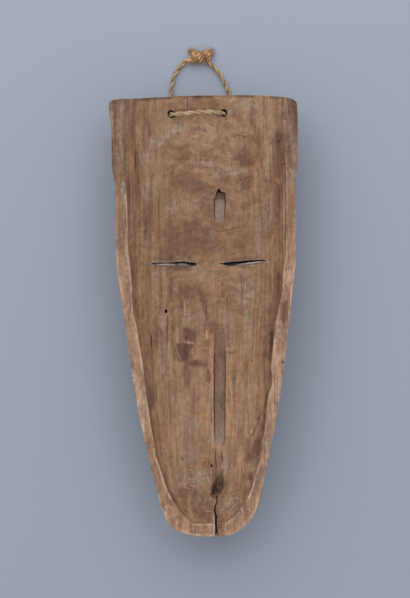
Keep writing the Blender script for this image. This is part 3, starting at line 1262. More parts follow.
def facet_cutter(name, corners, depths, hint):
    """A slightly twisted knife cut that takes a little off the rim, on a fine grid."""
    a, b, c, d = (np.array([px - PIXEL_X, PIXEL_Y - py, depth])
                  for (px, py), depth in zip(corners, depths))
    across = max(3, int(np.linalg.norm(b[:2] - a[:2]) / FACET_CELL))
    down = max(3, int(np.linalg.norm(d[:2] - a[:2]) / FACET_CELL))
    rings = []
    for i in range(down + 1):
        first, last = a + (d - a) * i / down, b + (c - b) * i / down
        ring = first + (last - first) * np.arange(across + 1)[:, None] / across
        ring[:, 2] = along(RIM, ring[:, 1]) - ring[:, 2]
        rings.append(np.vstack([ring[0] + [0, 0, 8], ring, ring[-1] + [0, 0, 8]]).tolist())
    return prism(name, rings, hint)


cutters += [facet_cutter(f"facet_{i}", *values) for i, values in enumerate(FACETS)]
px, py, half_x, half_y, deep = SCOOP
rings = [oval(px - PIXEL_X, PIXEL_Y - py, half_x * k, half_y * k, RIM_TOP + h, 24)
         for k, h in ((0.35, -deep * 2.6), (0.75, -deep * 1.9), (0.95, -deep), (1.05, 0), (1.1, 3))]
cutters.append(prism("scoop", rings, WORN))
print("cutters:", len(cutters))

# %% [markdown]
# ## One boolean for all cuts
#
# A boolean needs closed meshes that face outwards. Each cutter is small and simple, so its
# normals are recalculated, and all are joined and taken from the wood in one step. Of the
# three solvers the Manifold one is quick and keeps the result closed.

# %% All cutters outwards, and one boolean
for cutter in cutters:
    lone(cutter)
    bpy.ops.object.mode_set(mode="EDIT")
    bpy.ops.mesh.select_all(action="SELECT")
    bpy.ops.mesh.normals_make_consistent(inside=False)
    bpy.ops.object.mode_set(mode="OBJECT")
cutter = join(cutters)
report(cutter)
mark(sheet, "fresh", np.zeros(4 * len(sheet.polygons)), "FLOAT_COLOR", "FACE")
lone(wood)
cut = wood.modifiers.new("cuts", "BOOLEAN")
cut.operation = "DIFFERENCE"
cut.object = cutter
cut.solver = "MANIFOLD"
bpy.ops.object.modifier_apply(modifier=cut.name)
bpy.data.objects.remove(cutter)
sheet = wood.data
report(wood)

# %% [markdown]
# ## Where the wood is dusty, reddish, warm, dark or worn
#
# Old bare wood isn't one colour. Dust sits in the middle of the hollow, hands have worn the
# rim pale, the steep walls are dark, and fresh-looking orange wood shows beside the cuts.
# This could be painted by hand as vertex colours. Here each of these is a mask on the mesh,
# a number from 0 to 1 at every point, made from soft ragged patches and strokes that are
# placed by hand. The material turns the masks into colours.

# %% Hard edges where the knife left them, smooth elsewhere
SHARP_FROM = 38  # degrees between faces
lone(wood)
bpy.ops.object.shade_smooth_by_angle(angle=math.radians(SHARP_FROM))
print("shaded smooth up to, degrees:", SHARP_FROM)

# %% Patches and strokes on the drawing
PATCHES = {  # pixel, half width, half height, strength, and the turn in degrees if there is one
    "dust": [
        (205, 128, 42, 26, 0.3), (177, 129, 13, 4, 1.0, 28), (160, 140, 16, 6, 0.8, 30),
        (208, 135, 10, 4, 0.8), (150, 158, 9, 13, 0.5), (245, 103, 13, 7, 0.75),
        (268, 150, 5, 54, 0.45), (205, 163, 14, 4, 0.7, -5), (262, 118, 9, 9, 0.5, 20),
        (229, 171, 15, 4.5, 0.8), (167, 163, 9, 3, 0.5), (123.5, 189, 3.6, 15, 1.0),
        (217, 175, 4, 5, 0.7), (114, 104, 6, 7, 0.8), (172, 207, 12, 9, 0.8),
        (212, 235, 3.5, 6, 0.9), (150, 190, 9, 14, 0.45), (265, 213, 4, 24, 0.6),
        (200, 272, 8, 8, 0.9), (155, 273, 11, 7, 0.5), (195, 205, 12, 7, 0.35),
        (245, 290, 12, 13, 0.75), (248, 325, 5, 30, 0.6), (165, 362, 6, 24, 0.5),
        (186, 318, 5, 12, 0.7), (165, 315, 6, 15, 0.55), (200, 318, 7, 16, 0.5),
        (200, 478, 12, 12, 0.8, -30), (228, 330, 5, 22, 0.4), (187, 453, 10, 14, 0.55),
        (194, 424, 7, 6, 0.9), (225, 462, 9, 14, 0.5), (250, 270, 18, 6, 0.4),
        (233, 505, 13, 9, 0.65, 20), (203, 500, 13, 10, 0.35), (255, 470, 5, 6, 0.7),
        (174, 261, 26, 3.4, 0.55), (268, 443, 4, 5, 0.8), (292, 140, 4.5, 42, 0.7),
        (113, 140, 5, 38, 0.6), (240, 262.5, 27, 3.2, 0.5, 4), (246, 392, 7, 22, 0.5),
        (170, 400, 7, 22, 0.45), (260, 240, 6, 26, 0.5), (148, 245, 6, 22, 0.35),
        (219, 438, 7, 12, 0.7), (219.4, 473, 3.4, 8, 0.8, 10), (184, 430, 8, 20, 0.4),
        (180, 481, 14, 10, 0.5, -20), (115, 235, 4.5, 20, 0.5), (141, 272, 6, 45, 0.4),
        (276, 258, 6, 42, 0.2), (148, 395, 5, 20, 0.5, -12), (168, 514, 6, 9, 0.4, 35),
    ],
    "red": [
        (189, 363, 5, 3, 0.8, -20), (203, 365, 6, 3, 0.9, 5), (208, 375, 2.6, 9, 0.8),
        (187, 378, 3, 9, 0.6), (203, 350, 5, 3, 0.6), (234, 380, 3, 18, 0.5),
        (229, 395, 2, 12, 0.4), (246, 372, 3, 20, 0.35), (226, 330, 3, 14, 0.3),
        (193, 440, 3, 16, 0.4), (242, 430, 3, 18, 0.4, -8), (220.8, 524, 3.4, 11, 0.8),
        (247, 513, 4, 6, 0.5, -40), (195, 240, 44, 22, 0.5), (200, 195, 40, 20, 0.2),
        (235, 225, 30, 25, 0.25), (140, 250, 12, 50, 0.15), (247, 158, 12, 9, 0.8, -20),
        (190, 184, 18, 11, 0.7), (246, 181, 7, 9, 0.7), (170, 236, 14, 8, 0.5, -15),
        (187, 243, 17, 12, 0.8), (186, 228, 7, 7, 0.7), (116, 150, 5, 52, 0.6),
        (196, 226, 10, 5, 0.6, 20), (121, 242, 4, 60, 0.3), (279, 160, 4.5, 50, 0.8),
        (279, 292, 4.5, 24, 0.7), (248, 205, 15, 5, 0.6, 25), (193, 291, 15, 9, 0.6),
        (188, 334, 8.5, 9.5, 1.0), (183, 350, 9, 11, 1.0, 10), (190, 341, 6, 9, 0.9),
        (204, 207, 6, 10, 0.6), (197, 363.5, 10, 3, 0.9, 8), (205, 464, 6.5, 5.5, 0.6),
        (201, 507, 14, 13, 0.5), (204, 346, 7, 7, 0.5), (284, 315, 4, 14, 0.9),
        (213, 250, 7, 6, 0.5), (240, 247, 12, 7, 0.4, -20), (171, 290, 3, 13, 0.6),
        (132, 128, 5, 24, 0.5), (150, 398, 4, 15, 0.7), (198, 98, 5, 2.4, 1.0),
        (205, 310, 3.5, 20, 0.5, 12), (270, 377, 3, 9, 0.6), (171.5, 499, 5, 7, 0.8),
        (222, 300, 16, 12, 0.3), (187, 372, 7, 12, 0.5), (195, 395, 5, 22, 0.4),
        (232, 455, 5, 16, 0.5), (151, 420, 3, 18, 0.6, 10), (120, 315, 4, 22, 0.5),
        (138, 395, 4, 22, 0.2, -10), (273, 320, 4, 30, 0.5), (289, 215, 3.5, 22, 0.5),
        (147, 450, 3.5, 14, 0.7, -15), (178, 516, 10, 6, 0.6, -40), (128, 185, 3.5, 20, 0.5),
        (266, 435, 3, 16, 0.5), (236, 513, 8, 4, 0.4, 35),
    ],
    "warm": [
        (174, 512, 12, 6, 0.7, -42), (166, 494, 3, 14, 0.6, 25), (244, 518, 10, 5, 0.5, 38),
        (233, 530, 9, 3, 0.6, 10), (183, 528, 9, 4, 0.5, -10), (259, 490, 3, 16, 0.4, -20),
        (150, 452, 3, 22, 0.5, 12), (203, 530, 9, 3, 0.5), (200, 140, 24, 16, 0.7, 10),
        (202, 174, 10, 6, 0.8), (228, 236, 12, 6, 0.8), (225, 95, 20, 7, 0.5),
        (211, 264, 10, 7, 0.9), (193, 271, 3, 7, 1.0), (206.3, 385, 2.6, 24, 1.0),
        (214, 118, 30, 8, 0.6), (204, 463, 8, 6, 0.9), (201, 457, 3, 7, 0.7, 10),
        (207.4, 335, 2, 7, 1.0), (212, 370, 2, 28, 0.9), (227.8, 398, 2, 46, 0.9),
        (236, 130, 14, 10, 0.4), (205, 415, 6, 19, 0.8), (205.5, 423, 3.5, 5, 1.0),
        (131, 150, 5, 24, 0.45), (206, 255, 12, 5, 0.6), (236, 250, 17, 9, 0.4),
        (235, 268, 22, 3, 0.6), (150, 300, 20, 30, 0.3), (232, 218, 4, 20, 0.5),
        (240, 380, 12, 40, 0.4), (170, 420, 12, 40, 0.4), (230, 400, 6, 26, 0.7),
        (199, 258, 5, 3, 0.8), (258, 180, 8, 30, 0.3, 10), (155, 440, 10, 25, 0.4),
        (231, 425, 9, 24, 0.5), (220, 240, 7, 12, 0.3), (212, 292, 13, 12, 0.4),
        (262, 395, 7, 25, 0.4), (199, 350, 10, 12, 0.6), (172, 385, 10, 18, 0.4),
        (244, 455, 5, 26, 0.3), (140, 425, 3, 22, 0.6, -12), (246, 502, 6, 9, 0.4, 30),
        (271, 402, 3, 22, 0.3), (142, 285, 8, 52, 0.9), (277, 255, 6, 42, 0.6),
        (172, 520, 8, 6, 0.6, 35),
    ],
    "pale": [
        (203, 525, 10.5, 0.9, 0.9), (193.2, 529, 0.9, 6, 0.6), (213.8, 524, 0.8, 11, 0.8),
        (253, 427, 1.1, 14, 0.9, -25), (206.8, 335, 0.8, 6, 0.7), (226.6, 400, 0.8, 44, 0.35),
        (212.6, 395, 0.7, 40, 0.3), (184.6, 310, 0.9, 12, 0.4), (284, 215, 1.0, 48, 0.4),
        (233, 519, 1.0, 9, 0.5, -45), (187, 342, 8, 0.9, 0.5, -12), (203, 348.6, 8, 0.9, 0.4, 4),
        (141, 400, 4.5, 22, 0.45, 12), (171, 513, 9, 8, 0.3, 40),
    ],
    "dark": [
        (290, 112, 4, 12, 0.6), (136, 158, 1.8, 13, 0.7), (126, 108, 3, 10, 0.5),
        (276, 155, 4, 45, 0.3), (144, 118, 1.8, 11, 0.6), (281, 141, 1.6, 9, 0.6),
        (150.7, 340, 1.1, 9, 0.6), (283, 170, 1.5, 20, 0.35), (217, 489.5, 6.2, 8.5, 1.0, -12),
        (219.4, 482, 5, 11, 0.9, -18), (222, 474, 3, 9, 0.7, -8), (217.4, 474, 4, 9, 0.6, -5),
        (211.6, 493, 3.2, 3.4, 0.5, 14), (216, 491.5, 4.4, 6, 1.0), (187, 333, 8, 9, 0.3),
        (183, 350, 8.5, 10, 0.3, 10), (205, 500, 26, 20, 0.28), (245, 495, 14, 22, 0.28, -30),
        (205, 243, 44, 36, 0.14), (196, 364, 10, 3, 0.4, 8), (257, 444, 6, 20, 0.7, -20),
        (250.5, 478, 2.6, 6, 0.8), (215.5, 462, 1.3, 17, 0.6), (221.6, 461, 1.1, 6, 0.6),
        (209.4, 475, 1.1, 4, 0.6), (270.6, 350, 2.4, 20, 1.0, -3), (266.6, 398, 1.9, 14, 1.0, -8),
        (278, 281, 3, 20, 0.45), (221, 196, 5, 3, 0.4), (219, 342, 5, 10, 0.35),
        (219, 408, 5, 12, 0.3), (254.6, 429, 2, 12, 0.6, -26), (262.5, 431, 2.4, 12, 0.7),
        (229, 264.5, 5, 3, 0.5), (212, 476, 2, 10, 0.4), (216, 455, 1.5, 12, 0.5),
        (178, 269, 14, 1.8, 0.6), (170, 259, 22, 2.2, 0.6), (247, 267.5, 14, 2, 0.5, -6),
        (237, 259.5, 17, 2, 0.55, 4), (198, 109.4, 27, 1.6, 0.5, 2), (246, 138, 9, 2, 0.3),
        (203, 302, 2.4, 17, 0.5, 14), (181, 300, 2, 12, 0.4, 12), (171, 280, 2, 14, 0.4),
        (235, 353, 9, 1.6, 0.4), (203, 330, 12, 2.4, 0.3), (213, 325, 10, 3, 0.4),
        (282.8, 363.5, 1.2, 4, 0.6), (129, 200, 2.2, 26, 0.4), (140, 255, 1.4, 20, 0.45),
        (276, 215, 3, 28, 0.3), (145.5, 232, 1.6, 14, 0.4), (205, 452, 5, 4, 0.3),
        (222, 458, 1.6, 8, 0.5), (150, 400, 3.5, 20, 0.4, 8), (253, 238, 2, 14, 0.3),
        (262, 245, 2, 20, 0.25), (158, 497, 4, 5, 0.4, -30), (220, 353, 6, 3, 0.4),
        (289, 143, 4, 38, 0.35), (112, 145, 4, 30, 0.3), (276, 268, 3, 14, 0.35),
        (133, 300, 2, 25, 0.3), (118, 108, 2, 9, 0.4), (247, 161, 9, 4, 0.3, -30),
        (182, 160, 7, 2.4, 0.3, 10), (223, 208, 1.6, 12, 0.3), (195, 455, 14, 20, 0.22),
        (222, 197, 3, 5, 0.5), (218, 490.5, 3.4, 5.5, 1.0, -15), (217, 496.5, 2, 3, 1.0),
        (120, 235, 5, 26, 0.28, 3), (159, 480, 5, 20, 0.25, 20), (293, 205, 5, 28, 0.2),
        (218, 460, 8, 16, 0.35), (207, 465, 9, 9, 0.28), (200, 480, 11, 7, 0.25, -25),
        (222, 480, 5, 12, 0.4, -5), (213, 478, 4, 10, 0.4),
    ],
}
EDGE_TONES = {  # which edge, then from and to in pixels down, how dark and how pale
    "left": [
        (100, 178, 1.0, 0.0), (184, 250, 0.45, 0.2), (250, 318, 0.1, 0.6), (318, 372, 0.6, 0.2),
        (372, 430, 0, 1.0), (430, 496, 0.35, 0.25), (496, 536, 0, 0.9),
    ],
    "right": [
        (98, 172, 0.6, 0.0), (172, 262, 0.4, 0.2), (262, 366, 0.05, 0.7), (366, 470, 0.3, 0.35),
        (470, 536, 0, 0.6),
    ],
    "inner left": [(195, 320, 0, 0.75), (320, 505, 0, 0.9), (505, 530, 0, 0.6)],
    "inner right": [
        (120, 172, 0, 0.3), (172, 262, 0, 0.55), (262, 350, 0, 0.8), (350, 450, 0, 0.55),
        (450, 530, 0, 0.85),
    ],
}
print("patches:", {name: len(rows) for name, rows in PATCHES.items()})

# %% Each point's place on the drawing, and what kind of place it is
WOOD_LEFT, HOLLOW_REACH, RIM_REACH = 3, 6, 3  # mm over the face, under the floor, under the rim
points, normals = places(sheet), directions(sheet)
x, y, z = points.T
shrink = (VIEW[2] - RIM_TOP) / (VIEW[2] - z)
seen_x = PIXEL_X + VIEW[0] + (x - VIEW[0]) * shrink
seen_y = PIXEL_Y - (VIEW[1] + (y - VIEW[1]) * shrink)
wander = noise(seen_x, seen_y, 7, 9, 51)
column, progress = read(sheet, "column"), read(sheet, "progress")
left, right = inner_edges(y)
from_inner = np.minimum(x - left, right - x)
in_plan = (from_inner > -0.6) & (y > INNER_LEFT[0][0] - 0.8)
over_face = z - face_height(x, y) > WOOD_LEFT
hollow_side = in_plan & over_face & (hollow_height(x, y) - z < HOLLOW_REACH)
rim_side = ~in_plan & (along(RIM, y) - z < RIM_REACH)
print("points on the hollow side:", hollow_side.sum(), "on the rim:", rim_side.sum(), "of", len(x))


# %% The masks
def patch(px, py, half_x, half_y, strength, turn=0):
    """A mask that is strong inside a turned oval, with an edge that wanders."""
    c, s = math.cos(math.radians(turn)), math.sin(math.radians(turn))
    dx, dy = seen_x - px, py - seen_y
    distance = np.hypot((dx * c + dy * s) / half_x, (-dx * s + dy * c) / half_y)
    return strength * (1 - ease(distance + 0.5 * wander, 0.5, 1.15))


masks = {name: np.max([patch(*row) for row in rows], axis=0) * (hollow_side | rim_side)
         for name, rows in PATCHES.items()}
chin = ease(-y, -20, 120)
wall = (1 - ease(from_inner, 0.5, 4.0)) * (0.04 + 0.4 * chin) * (y > -200)
masks["dark"] = np.maximum(masks["dark"], wall * (0.7 + 0.5 * wander) * hollow_side)
print("mean of each mask:", {name: round(float(mask.mean()), 3) for name, mask in masks.items()})


# %% Weathered top, and worn and darkened edges
def add(name, amount):
    """Raises a mask to an amount wherever it is lower."""
    masks[name] = np.maximum(masks[name], amount)


low_rim = 1 - ease(y, 30, 120)
rim = np.where(rim_side, low_rim * (0.75 + 0.25 * ease(-y, 100, 180)), 0)
weathered = np.where(rim_side | (from_inner < 4), 1, 0) * ease(y, 110, 160)
add("dark", weathered * np.clip(0.62 + 0.5 * noise(seen_x, seen_y, 5, 40, 77, 2), 0, 1))
add("dust", weathered * np.clip(0.3 + 0.8 * noise(seen_x, seen_y, 4, 30, 78, 2), 0, 1))
rim_across = np.clip((column - TO_INNER) / RIM_CELLS, 0, 1)
worn_noise = noise(progress * OUTLINE_LENGTH, rim_across * 9, 11, 60, 61, 3)
patchy = np.clip(0.75 + 0.8 * worn_noise, 0.1, 1)
for edge, rows in EDGE_TONES.items():
    edge_column, spread = (TO_INNER, 1.6) if "inner" in edge else (TO_OUTER, 2.8)
    at_edge = 1 - ease(np.abs(column - edge_column), 0.6, spread)
    at_edge = at_edge * ((progress < 0.5) == ("left" in edge))
    for first, last, dark_amount, pale_amount in rows:
        near = at_edge * ease(seen_y, first - 6, first + 2) * (1 - ease(seen_y, last - 2, last + 6))
        add("dark", near * dark_amount * patchy)
        add("pale", near * pale_amount * patchy)
to_end = np.minimum(progress, 1 - progress) * ROWS
at_top = (1 - ease(to_end, 0.6, 2.0)) * (column <= TO_OUTER) * (y > 205)
add("dark", at_top * np.clip(0.8 + 0.9 * noise(x, y * 0, 14, 9, 66, 2), 0.2, 1))
print("mean dark now:", masks["dark"].mean().round(3))

# %% The masks onto the mesh, four to a colour attribute
under_side = np.where((column > TO_OUTER + 0.5) | ~(hollow_side | rim_side), 1.0, 0.0)
streaky = 1 - ease(share_at(x, y), 0.7, 0.97) * (1 - 0.8 * ease(-y, -40, 40))
streaky = np.where(hollow_side, streaky, 0.7)
for name, four in (("stains", [masks[key] for key in ("dust", "red", "warm", "dark")]),
                   ("wear", [masks["pale"], rim, under_side, streaky])):
    mark(sheet, name, np.clip(np.stack(four, axis=1), 0, 1), "FLOAT_COLOR")
print("attributes:", [kept.name for kept in sheet.attributes if "." not in kept.name])

# %% [markdown]
# ## Nodes in few words
#
# A material is a tree of nodes. In the editor they are added and wired by hand. In code that
# takes three lines for each node, so a small class does it in one, and the trees below can
# be read from top to bottom like a recipe. Colours are given as picked on a screen.

# %% Node helpers
def linear(r, g, b):
    """A colour picked on a screen, 0 to 255, as the numbers that a shader needs."""
    parts = (v / 255 for v in (r, g, b))
    return tuple(v / 12.92 if v <= 0.04 else ((v + 0.055) / 1.055) ** 2.4 for v in parts) + (1,)


class Nodes:
    """Adds nodes to a tree, each with its inputs linked or set."""

    def __init__(self, tree):
        self.tree = tree

    def add(self, kind, settings=None, **inputs):
        """A node, its inputs named, or numbered as _0 and so on."""
        node = self.tree.nodes.new(kind)
        for key, value in (settings or {}).items():
            setattr(node, key, value)
        for key, value in inputs.items():
            name = int(key[1:]) if key[0] == "_" else key.replace("_", " ")
            self.put(node.inputs[name], value)
        return node

    def put(self, socket, value):
        """Links an output to a socket, or sets the socket's own value."""
        if isinstance(value, bpy.types.NodeSocket):
            self.tree.links.new(value, socket)
        else:
            socket.default_value = value

    def math(self, operation, a, b=0.0, clamp=False):
        """A number worked out from one or two others."""
        settings = {"operation": operation, "use_clamp": clamp}
        return self.add("ShaderNodeMath", settings, _0=a, _1=b).outputs[0]

    def vector(self, operation, a, b):
        """A vector worked out from two others."""
        return self.add("ShaderNodeVectorMath", {"operation": operation}, _0=a, _1=b).outputs[0]

    def mix(self, factor, a, b, blend="MIX"):
        """A colour between two others."""
        settings = {"data_type": "RGBA", "blend_type": blend}
        return self.add("ShaderNodeMix", settings, _0=factor, _6=a, _7=b).outputs[2]

    def noise(self, vector, scale, detail=3.0, rough=0.55, output=0):
        """A noise texture, as a value or, with output 1, as a colour."""
        return self.add("ShaderNodeTexNoise", Vector=vector, Scale=scale, Detail=detail,
                        Roughness=rough).outputs[output]

    def range(self, value, low, high, to_low=0.0, to_high=1.0):
        """A smooth step from one value to another between low and high."""
        return self.add("ShaderNodeMapRange", {"interpolation_type": "SMOOTHSTEP"}, Value=value,
                        From_Min=low, From_Max=high, To_Min=to_low, To_Max=to_high).outputs[0]

    def product(self, *factors):
        """All the factors multiplied."""
        result = factors[0]
        for factor in factors[1:]:
            result = self.math("MULTIPLY", result, factor)
        return result


def new_material(name):
    """A material, a builder for its tree, and the shader that every new material has."""
    made = bpy.data.materials.new(name)
    made.use_nodes = True
    return made, Nodes(made.node_tree), made.node_tree.nodes["Principled BSDF"]


def dress(thing, material):
    """Gives an object this material and no other."""
    thing.data.materials.clear()
    thing.data.materials.append(material)


print("mid brown for a shader:", [round(v, 3) for v in linear(150, 118, 92)])

# %% [markdown]
# ## Grain
#
# Wood and plant fibre both show streaks that run one way. So the grain is a node group with
# the place, the fineness across and along the fibre and a wander as its inputs, and streaks,
# fine hairs and pores as its outputs. It is used in both materials, each with its own values.

# %% Grain as a node group
grain = bpy.data.node_groups.new("grain", "ShaderNodeTree")
grain.interface.new_socket("Place", in_out="INPUT", socket_type="NodeSocketVector")
for name in ("Across", "Along", "Wander"):
    grain.interface.new_socket(name, in_out="INPUT", socket_type="NodeSocketFloat")
for name in ("Streaks", "Hairs", "Pores"):
    grain.interface.new_socket(name, in_out="OUTPUT", socket_type="NodeSocketFloat")
g = Nodes(grain)
source = grain.nodes.new("NodeGroupInput").outputs
result = grain.nodes.new("NodeGroupOutput").inputs
sway = g.math("SUBTRACT", g.noise(source["Place"], 14.0, 2.0, 0.5), 0.5)
shift = g.add("ShaderNodeCombineXYZ", X=g.math("MULTIPLY", sway, source["Wander"])).outputs[0]
stretch = g.add("ShaderNodeCombineXYZ", X=source["Across"], Y=source["Along"], Z=source["Across"])
scaled = g.vector("MULTIPLY", g.vector("ADD", source["Place"], shift), stretch.outputs[0])
g.put(result["Streaks"], g.noise(scaled, 0.28, 3.0, 0.6))
g.put(result["Hairs"], g.noise(scaled, 1.0, 4.0, 0.7))
g.put(result["Pores"], g.range(g.noise(scaled, 0.62, 1.0, 0.4), 0.66, 0.74))
print("grain group sockets:", [item.name for item in grain.interface.items_tree])

# %% [markdown]
# ## The wood's material
#
# The colour is built in layers, as the wood got it: a mottled brown base, the stains and the
# wear over it, streaks of grain that run the length of the mask with small dark pores, and
# the fresh cuts. One image of old wood would show its seams and lose its detail close up, so
# everything is procedural. The patterns stand still on the wood, because they read Object
# coordinates, and the masks and hints come from the mesh.

# %% What the wood's material reads from the mesh
carved, n, shader = new_material("carved_wood")
place = n.add("ShaderNodeTexCoord").outputs["Object"]


def four_masks(name):
    """The four numbers of a colour attribute."""
    node = n.add("ShaderNodeAttribute", {"attribute_name": name})
    split = n.add("ShaderNodeSeparateColor", Color=node.outputs["Color"])
    return [*split.outputs, node.outputs["Alpha"]]


dust, red, warm, dark = four_masks("stains")
pale, rim_mask, under_mask, streaky_mask = four_masks("wear")
cut_black, cut_dust, cut_pale, cut_any = four_masks("fresh")
wood_grain = n.add("ShaderNodeGroup", {"node_tree": grain}, Place=place, Across=900.0, Along=30.0,
                   Wander=0.006)
streaks, hairs, pores = wood_grain.outputs
print("nodes that read the mesh:", len(carved.node_tree.nodes))

# %% Swirls and mottling
# Swirls: noise is read at places that another noise has pushed about by roughly a centimetre.
push = n.vector("SUBTRACT", n.noise(place, 32.0, 2.0, 0.5, output=1), (0.5, 0.5, 0.5))
swirled = n.vector("ADD", place, n.vector("MULTIPLY", push, (0.035, 0.035, 0.035)))
blotch = n.noise(swirled, 34.0, 5.0, 0.62)
turned = n.add("ShaderNodeMapping", Vector=n.vector("MULTIPLY", swirled, (60.0, 260.0, 120.0)),
               Rotation=(0, 0, 0.5)).outputs[0]
strokes = n.noise(turned, 1.0, 4.0, 0.62)
small = n.noise(place, 210.0, 4.0, 0.68)
speck = n.noise(place, 640.0, 3.0, 0.72)
stretched = n.noise(n.vector("MULTIPLY", swirled, (300.0, 34.0, 150.0)), 1.0, 5.0, 0.65)
mottle = n.add("ShaderNodeMix", {"data_type": "FLOAT"}, _0=streaky_mask,
               _2=n.noise(swirled, 120.0, 5.0, 0.68), _3=stretched).outputs[0]
print("noise textures so far:", sum(node.type == "TEX_NOISE" for node in carved.node_tree.nodes))

# %% The bare wood's colour, and the lighter lower hollow and rim
base = n.mix(n.range(blotch, 0.36, 0.64), linear(141, 105, 82), linear(160, 125, 100))
base = n.mix(n.range(mottle, 0.34, 0.5, 0.5, 0.0), base, linear(120, 87, 66))
base = n.mix(n.range(mottle, 0.52, 0.68, 0.0, 0.5), base, linear(182, 146, 118))
base = n.mix(n.range(n.noise(place, 19.0, 2.0), 0.42, 0.62, 0.0, 0.4), base, linear(152, 118, 88))
up_mask = n.add("ShaderNodeSeparateXYZ", Vector=place).outputs[1]
lower = n.product(n.range(up_mask, -0.02, -0.1, 0.0, 0.25), n.range(up_mask, -0.19, -0.14))
base = n.mix(lower, base, linear(190, 150, 124))
rim_colour = n.mix(n.range(mottle, 0.4, 0.62), linear(149, 112, 91), linear(184, 146, 122))
base = n.mix(rim_mask, base, rim_colour)
print("nodes with the bare wood's colour:", len(carved.node_tree.nodes))


# %% Stains and wear over it
def broken(mask, texture, low=0.38, high=0.58, least=0.1):
    """A mask broken up by a texture, so that it has islands and gaps and no smooth edge."""
    return n.math("MULTIPLY", mask, n.range(texture, low, high, least, 1.0), clamp=True)


outside_wood = n.mix(n.range(mottle, 0.38, 0.62), linear(92, 63, 46), linear(132, 97, 73))
LAYERS = (
    (broken(warm, small, 0.35, 0.6, 0.35), 0.8, linear(180, 131, 92)),
    (broken(red, mottle, 0.34, 0.6, 0.4), 1.0, linear(116, 80, 66)),
    (broken(dust, small, 0.4, 0.6, 0.3), 0.8, linear(168, 148, 129)),
    (under_mask, 0.85, outside_wood),
    (broken(dark, speck, 0.3, 0.6, 0.45), 0.9, linear(72, 50, 38)),
    (broken(pale, small, 0.32, 0.5, 0.3), 1.0, linear(205, 172, 145)),
)
for amount, share, colour in LAYERS:
    base = n.mix(n.product(amount, share), base, colour)
print("layers of stains and wear:", len(LAYERS))


# %% Light and dark in the grain
def shift_of(value, amount):
    """How much a texture lightens or darkens: from minus the amount to the amount."""
    return n.range(value, 0.3, 0.7, -amount, amount)


streaked = n.product(shift_of(streaks, 0.23), n.range(streaky_mask, 0.0, 1.0, 0.2, 1.0))
shade = n.math("ADD", streaked, 1.0)
swirl = n.product(shift_of(strokes, 0.16), n.range(streaky_mask, 0.0, 1.0, 1.0, 0.2))
for change in (swirl, shift_of(hairs, 0.1), shift_of(small, 0.1), shift_of(speck, 0.08)):
    shade = n.product(shade, n.math("ADD", change, 1.0))
grey = n.add("ShaderNodeCombineColor", Red=shade, Green=shade, Blue=shade).outputs[0]
colour = n.mix(1.0, base, grey, "MULTIPLY")
colour = n.mix(n.product(pores, 0.45), colour, linear(70, 48, 36))
print("nodes with the grain:", len(carved.node_tree.nodes))

# %% The fresh cuts, and how rough and bumpy the wood is
cut_base = n.mix(n.range(stretched, 0.38, 0.62), linear(108, 80, 62), linear(140, 108, 85))
pale_cut = n.mix(cut_any, linear(208, 172, 142), linear(196, 187, 186))
for amount, layer in (
    (n.product(cut_any, 0.7), cut_base),
    (n.product(broken(cut_dust, small, 0.3, 0.6, 0.4), 0.75), linear(160, 143, 129)),
    (broken(cut_pale, small, 0.3, 0.5, 0.6), pale_cut),
    (cut_black, linear(20, 14, 12)),
):
    colour = n.mix(amount, colour, layer)
n.put(shader.inputs["Base Color"], colour)
n.put(shader.inputs["Roughness"], n.range(small, 0.3, 0.7, 0.72, 0.9))
shader.inputs["Specular IOR Level"].default_value = 0.22
height = mottle
for value, share in ((hairs, 0.5), (speck, 0.35), (pores, -0.5)):
    height = n.math("ADD", height, n.product(value, share))
bump = n.add("ShaderNodeBump", Strength=0.6, Distance=0.0006, Height=height)
n.put(shader.inputs["Normal"], bump.outputs[0])
dress(wood, carved)
print("wood material nodes:", len(carved.node_tree.nodes))

# %% [markdown]
# ## Plant fibre
#
# The stretch of cord inside the mask is pale, the loop outside it is aged to yellow and
# brown, and the knot is a warm orange. One material does all three, led by the tone that the
# mesh carries. The fibres are the same grain group, read along the strand's own UV map, and
# the furrow between the plies is dark.

# %% Plant fibre
fibre, n, shader = new_material("plant_fibre")
strand_uv = n.add("ShaderNodeUVMap", {"uv_map": "strand"}).outputs[0]
valley, tone = (n.add("ShaderNodeAttribute", {"attribute_name": name}).outputs["Fac"]
                for name in ("valley", "tone"))
hair = n.add("ShaderNodeGroup", {"node_tree": grain}, Place=strand_uv, Across=22.0, Along=1.2,
             Wander=0.0).outputs["Hairs"]
clump = n.noise(n.add("ShaderNodeTexCoord").outputs["Object"], 160.0, 4.0)
pale_fibre = n.mix(n.range(clump, 0.38, 0.62), linear(166, 136, 108), linear(192, 162, 132))
aged_fibre = n.mix(n.range(clump, 0.4, 0.6), linear(134, 114, 80), linear(182, 148, 102))
knot_fibre = n.mix(n.range(clump, 0.42, 0.58), linear(148, 96, 50), linear(228, 172, 114))
aged = n.range(tone, 0.0, 1.0)
lively = n.range(aged, 0.0, 1.0, 0.4, 1.0)
base = n.mix(n.range(tone, 1.0, 2.0), n.mix(aged, pale_fibre, aged_fibre), knot_fibre)
base = n.mix(n.product(n.range(hair, 0.38, 0.7, 0.0, 0.8), lively), base, linear(226, 196, 156))
base = n.mix(n.product(n.range(hair, 0.32, 0.45, 0.6, 0.0), lively), base, linear(112, 84, 56))
furrow = n.product(n.range(valley, 0.35, 0.95, 0.0, 0.85), n.range(aged, 0.0, 1.0, 0.5, 1.0))
base = n.mix(furrow, base, n.mix(aged, linear(140, 110, 86), linear(92, 66, 40)))
n.put(shader.inputs["Base Color"], base)
shader.inputs["Roughness"].default_value = 0.85
bump = n.add("ShaderNodeBump", Strength=0.6, Distance=0.0003, Height=hair)
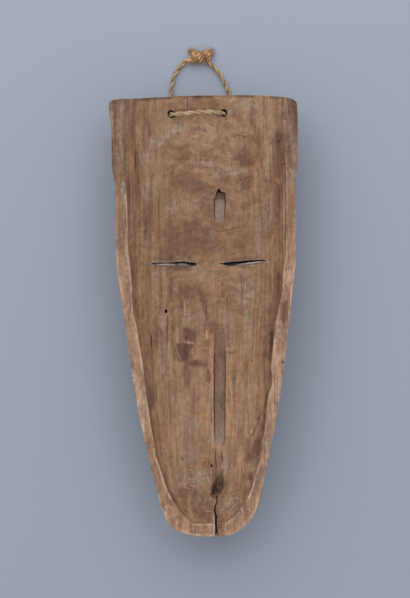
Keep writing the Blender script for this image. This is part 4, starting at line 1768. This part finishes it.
n.put(shader.inputs["Normal"], bump.outputs[0])
for piece in (cord, knot):
    dress(piece, fibre)
print("fibre material nodes:", len(fibre.node_tree.nodes))

# %% [markdown]
# ## Floor and light
#
# The floor is a plain pale sheet of cool grey paper. Most of the light comes evenly from all
# around, which is the world's background, and a large soft lamp beyond the top of the mask
# gives the gentle shade under the rim and beside the knife cuts.

# %% Floor
bpy.ops.object.select_all(action="DESELECT")
bpy.ops.mesh.primitive_plane_add(size=8, location=(0, 0, 0))
ground = bpy.context.object
ground.name = "floor"
ground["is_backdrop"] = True
paper, _, shader = new_material("pale_paper")
shader.inputs["Base Color"].default_value = (0.36, 0.39, 0.46, 1)
shader.inputs["Roughness"].default_value = 0.9
dress(ground, paper)
print("floor, m:", tuple(ground.dimensions))

# %% Light
world = bpy.data.worlds.new("room")
world.use_nodes = True
background = world.node_tree.nodes["Background"]
background.inputs["Color"].default_value = (0.9, 0.95, 1, 1)
background.inputs["Strength"].default_value = 0.67
bpy.context.scene.world = world

lamp = bpy.data.lights.new("window", "AREA")
lamp.energy = 21.5
lamp.size = 2.4
window = add_object("window", lamp)
window.location = (-0.2, 1.15, 1.35)
window.rotation_euler = (-window.location).to_track_quat("-Z", "Y").to_euler()
bpy.context.scene.view_settings.view_transform = "Standard"
print("lamp to mask, m:", round(window.location.length, 2))

# %% [markdown]
# ## The pieces' places in the frame
#
# Each finished piece takes the place of its solid. All three lie still together, so all ride
# on the same body, and the cord is declared with its length, its route and what it ends in.

# %% The pieces' places in the frame
for piece, node, slot in ((wood, "mask", "carved_wood"), (cord, "cord", "plant_fibre"),
                          (knot, "knot", "plant_fibre")):
    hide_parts(node)
    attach(piece, "root")
print("pieces:", wood.name, cord.name, knot.name)

# %% [markdown]
# ## Sizes
#
# A finish may not make the object bigger than it is. So the box round the finished pieces is
# written down beside the box of the solids, and the two are compared after each render.

# %% Sizes, and the last check
visual_box = [list(corner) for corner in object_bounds()]
print("finished box, mm:", [[round(v / MM) for v in corner] for corner in visual_box])
